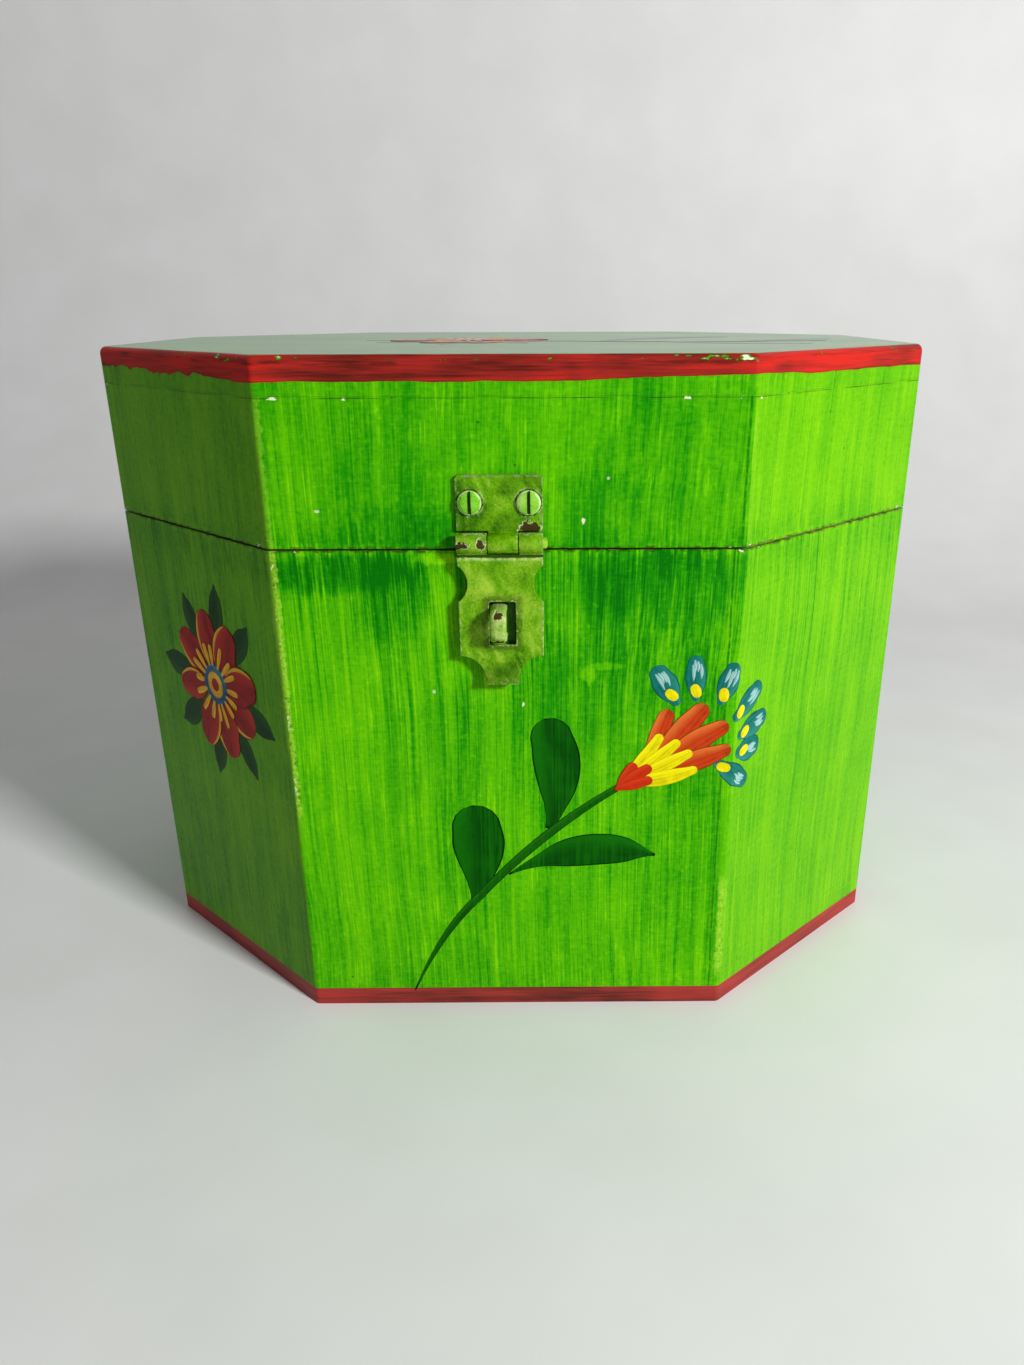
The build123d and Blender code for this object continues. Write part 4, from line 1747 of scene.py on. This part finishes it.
@dataclass
class Hasp:
    """The hasp: leaf, strap, pin and screws, and the staple that the strap drops over.

    Attributes:
        screw: the screws that hold the leaf.
        leaf_top: the pin's axis to the leaf's upper edge, in millimetres.
        dome: how far the pin's ends are domed.
        staple_thickness, staple_bend: the staple's strip, and the radius of its bends.
    """

    screw: RoundScrew = field(default_factory=RoundScrew)
    leaf_top: float = 16.3
    dome: float = 0.55
    staple_thickness: float = 1.6
    staple_bend: float = 2.0

    def build(self) -> list[bpy.types.Object]:
        """Makes the screws and the pin, and dresses the rest."""
        leaf_low, leaf_high = (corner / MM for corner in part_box("hasp_leaf"))
        strap_low, strap_high = (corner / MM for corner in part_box("hasp_strap"))
        low, high = (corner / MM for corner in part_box("staple_loop"))
        left, right, top = leaf_low.x, leaf_high.x, leaf_high.z
        foot, axis = strap_low.z, top - self.leaf_top
        paints = {
            "hasp_leaf": HardwarePaint(
                "hasp_leaf_paint", 4.0, 0.2, pale=-0.45, plate=Outline(left, right, axis - 4, top),
                lip=0.25, screws=tuple(self.screw_places()),
                knocks=(Patch(right - 3.2, axis + 3.3, 3.0, 1.9, 1.3),),
                patches=(Patch(0.0, axis, 7.0, 3.0, -0.22),),
            ),
            "hasp_strap": HardwarePaint(
                "hasp_strap_paint", 13.0, 0.2, pale=0.15, plate=Outline(left, right, foot, strap_high.z),
                lip=0.45, fold=axis - 3.0, foot=foot + 5.0,
                hole=Outline(low.x - 0.4, high.x + 2.2, low.z - 1.6, high.z + 0.8),
                knocks=(
                    Patch(left + 1.4, axis - 0.2, 2.0, 1.0, 1.3),
                    Patch(left + 6.2, axis + 0.2, 1.3, 1.7, 1.3),
                ),
                patches=(
                    Patch(-2.0, axis - 14.0, 9.0, 9.0, -0.12),
                    Patch(0.0, foot + 3.0, 5.0, 4.0, 0.22),
                ),
            ),
            # The staple plate is seen only through the slot, so its paint is made very dark: painted
            # shade of the slot's depth.
            "staple_plate": HardwarePaint("staple_plate_paint", 23.0, pale=-2.2),
            "staple_screws": HardwarePaint("staple_screw_paint", 37.0, 0.4),
        }
        for node, paint in paints.items():
            dress(node, paint.mix(), soften=0.18)
        return [self.screws(), self.pin(), self.staple(low, high)]

    def staple(self, low: Vector, high: Vector) -> bpy.types.Object:
        """The staple's loop, bent from a strip with a rounded face.

        Args:
            low, high: corners of the loop's box, in millimetres.

        Returns:
            The loop.
        """
        middle = (low.x + high.x) / 2
        thick, bend = self.staple_thickness, self.staple_bend
        foot, front = low.z + thick / 2, low.y + thick / 2
        rise = high.z - low.z - thick - 2 * bend
        loop = Bench.add("staple_round_loop", bpy.ops.mesh.primitive_circle_add, vertices=28,
                         radius=0.5 * MM, fill_type="NGON", rotation=(math.pi / 2, 0, 0),
                         location=(middle * MM, high.y * MM, foot * MM))
        loop.scale = (high.x - low.x, thick, 1)
        Bench.settle(loop)
        Bench.edit(loop)
        bends = ((middle, front + bend, foot + bend), (middle, front + bend, foot + bend + rise))
        for way, centre in zip(((0, front + bend - high.y, 0), (0, 0, rise)), bends):
            Bench.draw(Vector(way) * MM)
            bpy.ops.mesh.spin(steps=8, angle=math.pi / 2, center=Vector(centre) * MM, axis=(1, 0, 0))
        Bench.draw(Vector((0, high.y - front - bend, 0)) * MM)
        bpy.ops.mesh.select_all(action="SELECT")
        bpy.ops.mesh.normals_make_consistent(inside=False)
        Bench.leave(loop, smooth=50)
        loop.data.materials.append(HardwarePaint(
            "staple_loop_paint", 31.0, pale=0.6, light=srgb(176, 192, 112),
            knocks=(
                Patch(middle, high.z - 1.5, 1.2, 1.3, 1.3),
                Patch(middle, low.z + 0.6, 1.6, 0.6, 1.3),
            ),
        ).mix())
        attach(loop, "body")
        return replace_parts(loop, "staple_loop")

    def screw_places(self) -> list[Point]:
        """Middles of the leaf's two screws, from the left, in millimetres."""
        low, high = (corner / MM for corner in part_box("hasp_leaf_screws"))
        radius, height = self.screw.head / 2, (low.z + high.z) / 2
        return [(low.x + radius, height), (high.x - radius, height)]

    def screws(self) -> bpy.types.Object:
        """The two screws of the leaf, their slots upright."""
        places = self.screw_places()
        pattern = self.screw.pattern(HardwarePaint(
            "hasp_screw_paint", 41.0, 0.0, pale=0.5, screws=tuple(places), slots=True,
            middle=srgb(94, 170, 20), light=srgb(150, 200, 80),
        ).mix())
        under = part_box("hasp_leaf_screws")[0].y + self.screw.rise * MM
        copies = []
        for (x, z), lean in zip(places, (2, 1)):
            place = Matrix.Translation((x * MM, under, z * MM)) @ Matrix.Rotation(math.pi / 2, 4, "X")
            copies.append(Bench.copy(pattern, place @ Matrix.Rotation(math.radians(lean), 4, "Z")))
        Bench.remove(pattern)
        made = Bench.join("hasp_round_head_screws", copies)
        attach(made, "lid")
        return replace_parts(made, "hasp_leaf_screws")

    def pin(self) -> bpy.types.Object:
        """The pin, with domed ends that stand out of the knuckles."""
        low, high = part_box("hasp_pin")
        radius = (high.z - low.z) / 2
        made = Bench.add("hasp_domed_pin", bpy.ops.mesh.primitive_cylinder_add, vertices=32,
                         radius=radius, depth=high.x - low.x - 2 * self.dome * MM)
        Bench.edit(made)
        steps = ((0.10, 0.42), (0.22, 0.32), (0.26, 0.18), (0.20, 0.08))
        for way in (1, -1):
            Bench.pick(made, "faces", lambda face: face.normal.z * way > 0.9)
            Bench.dome(radius, self.dome * MM * way, steps)
        Bench.leave(made)
        made.rotation_euler.y = math.pi / 2
        made.location = (low + high) / 2
        Bench.settle(made)
        Bench.leave(made, smooth=40)
        made.data.materials.append(HardwarePaint("hasp_pin_paint", 17.0, 0.7, pale=1.6).mix())
        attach(made, "lid")
        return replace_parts(made, "hasp_pin")


@dataclass
class Hinges:
    """The two hinges on the back, painted over with the box."""

    names: tuple[str, ...] = ("left", "right")

    def build(self) -> None:
        """Dresses leaves, pins and screws."""
        for number, name in enumerate(self.names):
            for part, seed, chips, soften in (
                ("lid_leaf", 51.0, 0.3, 0.14), ("body_leaf", 54.0, 0.3, 0.14), ("pin", 56.0, 0.5, 0.0)
            ):
                paint = HardwarePaint(f"hinge_{part}_paint_{name}", seed + number * 7, chips)
                dress(f"hinge_{part}_{name}", paint.mix(), soften)
        for node in ("hinge_lid_screws", "hinge_body_screws"):
            dress(node, HardwarePaint(f"{node}_paint", 71.0, 0.2, pale=0.3).mix(), 0.08)


@dataclass
class Boards:
    """The wooden boards of body and lid.

    Attributes:
        plan: the box from above.
        looks: the walls whose paint is seen to differ.
        lid_seed: moves the pattern on the lid.
        lid_combed, body_combed: how much the paint of each is combed into streaks, from 0 to 1.
    """

    plan: Plan
    looks: dict[str, WallLook] = field(default_factory=lambda: {
        "body_wall_front": WallLook(
            0.01, EdgeWearAndHighlight(0.7, 104, 40), EdgeWearAndHighlight(0.5, 26, 16), mitre=3.0,
            patches=(
                Patch(-42, 131, 22, 6, 0.22), Patch(-30, 124, 11, 13, 0.18),
                Patch(38, 128, 28, 13, 0.16), Patch(11, 86, 13, 30, 0.15),
                Patch(30, 30, 26, 26, 0.06), Patch(42, 92, 22, 30, 0.16),
                Patch(22, 115, 17, 19, 0.17), Patch(20.5, 103.5, 2.6, 2.4, -0.28),
                Patch(25, 106, 6, 1.2, -0.20), Patch(-15, 118, 9, 22, -0.10),
                Patch(-42, 60, 18, 60, -0.07), Patch(-18, 134.6, 7, 1.6, -0.3),
            ),
            knocks=(Patch(-20.2, 99.2, 0.5, 0.7, 0.5), Patch(3.3, 95.6, 0.4, 0.6, 0.9)),
        ),
        "lid_wall_front": WallLook(
            -0.05, EdgeWearAndHighlight(0.25, 150, 30), EdgeWearAndHighlight(0.0), mitre=1.2,
            flakes=((43.5, 0.9), (56.8, 0.8), (-56.0, 1.7)),
            patches=(
                Patch(-27, 142, 16, 7, 0.16), Patch(23, 146, 12, 11, 0.13),
                Patch(-30, 158, 14, 16, 0.05), Patch(-53, 155, 6, 20, -0.12),
                Patch(40, 156, 20, 16, 0.04), Patch(13, 144, 3, 8, -0.10),
                Patch(-6, 152, 9, 14, -0.06),
            ),
            knocks=(
                Patch(18.9, 144.1, 0.5, 0.9, 0.9), Patch(25.0, 154.4, 0.5, 0.4, 0.5),
                Patch(-47.0, 146.6, 0.8, 0.4, 0.6),
            ),
        ),
        "body_wall_front_right": WallLook(0.02, EdgeWearAndHighlight(0.3, 26, 16), EdgeWearAndHighlight(0.0), coat=LIT_SIDE_COAT),
        "lid_wall_front_right": WallLook(0.02, EdgeWearAndHighlight(0.2, 150, 20), EdgeWearAndHighlight(0.0), coat=LIT_SIDE_COAT),
        "body_wall_front_left": WallLook(0.02, EdgeWearAndHighlight(0.0), EdgeWearAndHighlight(0.3, 110, 30), coat=REFLECTION_VEIL_COAT),
        "lid_wall_front_left": WallLook(0.03, EdgeWearAndHighlight(0.0), EdgeWearAndHighlight(0.2, 150, 20), coat=REFLECTION_VEIL_COAT),
    })
    lid_seed: float = 60.0
    lid_combed: float = 0.55
    body_combed: float = 0.70

    def build(self) -> None:
        """Dresses every board."""
        joint, top = (corner.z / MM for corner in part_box("lid_board"))
        parts = (("body", False, 0.0, self.body_combed), ("lid", True, self.lid_seed, self.lid_combed))
        for part, above, seed, combed in parts:
            for side in Side:
                node = f"{part}_wall_{side.name.lower()}"
                look = self.looks.get(node, WallLook())
                low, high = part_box(node)
                rim = (low.z if above else high.z) / MM
                dress(node, WallPaint(
                    f"{node}_paint", side, self.plan, look, rim, above, joint, seed, combed
                ).mix())
        dress("lid_board", LidBoardPaint(self.plan, joint, top, self.lid_seed, self.lid_combed).mix())
        dress("base_board", BaseBoardPaint(self.plan).mix())


@dataclass
class Studio:
    """A pale sweep, soft light and the camera at the photograph's place.

    Attributes:
        camera_at: the camera, in millimetres.
        pitch, yaw, roll: how it looks down, to the right and leans, in radians.
        lens: focal length on a 36 mm sensor.
        shift: the lens's shift, as a share of the picture's height.
        key_azimuth, key_height: where the main lamp stands, in degrees, from the front to the right.
        key_power, key_size, key_distance: the main lamp, in watts and metres.
        fill: strength of the light from all round.
        fill_lean: how much stronger it is from the left, and weaker from the right.
        pale: how bright the room looks.
        floor_width, floor_depth, floor_y, backdrop, bend: the sweep, in metres.
    """

    camera_at: tuple[float, float, float] = (10.792, -364.672, 194.098)
    pitch: float = 0.39863
    yaw: float = 0.00546
    roll: float = -0.00308
    lens: float = 27.975
    shift: Point = (-0.03316, 0.04869)
    key_azimuth: float = 44.0
    key_height: float = 23.0
    key_power: float = 20.0
    key_size: float = 0.17
    key_distance: float = 1.3
    fill: float = 0.24
    fill_lean: float = 0.45
    pale: float = 0.70
    floor_width: float = 4.4
    floor_depth: float = 2.8
    floor_y: float = -0.75
    backdrop: float = 2.2
    bend: float = 0.34

    def build(self) -> None:
        """Sets up the stage, the lamps and the camera."""
        bpy.context.scene.view_settings.view_transform = "Standard"
        self.sweep()
        self.light_world()
        self.key_lamp()
        self.camera()

    def sweep(self) -> None:
        """The floor, which curves up into the backdrop."""
        floor = Bench.add("floor", bpy.ops.mesh.primitive_plane_add, size=1.0)
        floor.scale = (self.floor_width, self.floor_depth, 1)
        floor.location.y = self.floor_y
        Bench.settle(floor)
        Bench.edit(floor)
        Bench.pick(floor, "edges", lambda edge: all(end.co.y > 0.6 for end in edge.verts))
        Bench.draw((0, 0, self.backdrop))
        Bench.pick(floor, "edges", lambda edge: all(
            end.co.y > 0.6 and end.co.z < 0.1 for end in edge.verts
        ))
        bpy.ops.mesh.bevel(offset=self.bend, segments=24)
        Bench.leave(floor)
        bpy.ops.object.shade_smooth()
        recipe = Recipe("pale_sweep", gloss=0.3)
        mottle = recipe.noise(recipe.place(), 3.0, 0.02)
        pale = (0.2, srgb(220, 220, 218)), (0.8, srgb(228, 228, 227))
        recipe.colour = recipe.ramp(mottle + 0.5, *pale)
        floor.data.materials.append(recipe.finish(0.5))

    def light_world(self) -> None:
        """Even light; behind the box the room is pale where it is seen or mirrored."""
        world = bpy.data.worlds.new("soft_room")
        world.use_nodes = True
        room = Mixer(world.node_tree)
        across, back = room.split(room.node("ShaderNodeTexCoord"), 2)
        mirrored = room.node("ShaderNodeLightPath", output="Is Glossy Ray") * back.rise(0.45, 0.85)
        seen = room.node("ShaderNodeLightPath", output="Is Camera Ray").most(mirrored)
        fill = (1.0 - across * self.fill_lean) * self.fill
        background = world.node_tree.nodes["Background"]
        background.inputs["Color"].default_value = (0.96, 0.98, 1.0, 1.0)
        room.feed(background.inputs["Strength"], seen * self.pale + (1.0 - seen) * fill)
        bpy.context.scene.world = world

    def key_lamp(self) -> None:
        """One soft lamp, in front and to the right."""
        azimuth, height = math.radians(self.key_azimuth), math.radians(self.key_height)
        way = Vector((
            math.sin(azimuth) * math.cos(height), -math.cos(azimuth) * math.cos(height), math.sin(height)
        ))
        lamp = bpy.data.lights.new("key_lamp", "AREA")
        lamp.energy, lamp.size = self.key_power, self.key_size
        holder = bpy.data.objects.new("key_lamp", lamp)
        holder.location = Vector((0, 0, 0.1)) + way * self.key_distance
        holder.rotation_euler = way.to_track_quat("Z", "Y").to_euler()
        bpy.context.collection.objects.link(holder)

    def camera(self) -> None:
        """The camera, at the photograph's place."""
        data = bpy.data.cameras.new("camera")
        data.lens, data.sensor_width, data.clip_start = self.lens, 36.0, 0.01
        data.shift_x, data.shift_y = self.shift
        holder = bpy.data.objects.new("camera", data)
        aim = Euler((math.pi / 2 - self.pitch, 0, -self.yaw)).to_matrix()
        holder.rotation_euler = (aim @ Matrix.Rotation(self.roll, 3, "Z")).to_euler()
        holder.location = Vector(self.camera_at) * MM
        bpy.context.collection.objects.link(holder)
        bpy.context.scene.camera = holder


def dress(node: str, material: bpy.types.Material, soften: float = 0.0) -> None:
    """Gives a CAD node its finish.

    Args:
        node: the node's name.
        material: its finish.
        soften: how much its sharp edges are rounded, in millimetres, or 0 to leave them.
    """
    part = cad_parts[node]
    for place in part.material_slots:
        place.material = material
    if soften > 0:
        weld = part.modifiers.new("weld", "WELD")
        weld.merge_threshold = 1e-6
        bevel = part.modifiers.new("soften", "BEVEL")
        bevel.width, bevel.segments = soften * MM, 2
        bevel.limit_method, bevel.angle_limit = "ANGLE", math.radians(40)
    LOG.info("dressed %s with %s", node, material.name)


def main() -> None:
    """Builds the looks in order and reports each piece."""
    logging.basicConfig(level=logging.INFO, format="%(message)s")
    Studio().build()
    plan = Plan.measured()
    Boards(plan).build()
    Hinges().build()
    made = Hasp().build()
    brush = Brush(StrokePaint.palette())
    lid_brush = Brush(StrokePaint.palette(varnish=0.75, suffix="_on_lid"))
    top = Face(plan, None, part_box("lid_board")[1].z / MM)
    made += Sprig(brush, Face(plan, Side.FRONT), "body", "wall_paint").build()
    made += [
        Rosette(brush, Face(plan, Side.FRONT_LEFT), "body", "wall_paint",
                "left_rosette", (3.3, 92.4)).build(),
        Rosette(lid_brush, top, "lid", "lid_paint", "lid_rosette", (-15.0, -4.0), petal_reach=25.0,
                stamen_reach=13.0, ring_reach=7.4, leaf_reach=33.0).build(),
        LidSpray(lid_brush, top, "lid", "lid_paint").build(),
    ]
    for piece in made:
        LOG.info("made %s with %d faces", piece.name, len(piece.data.polygons))


if __name__ == "__main__":
    main()
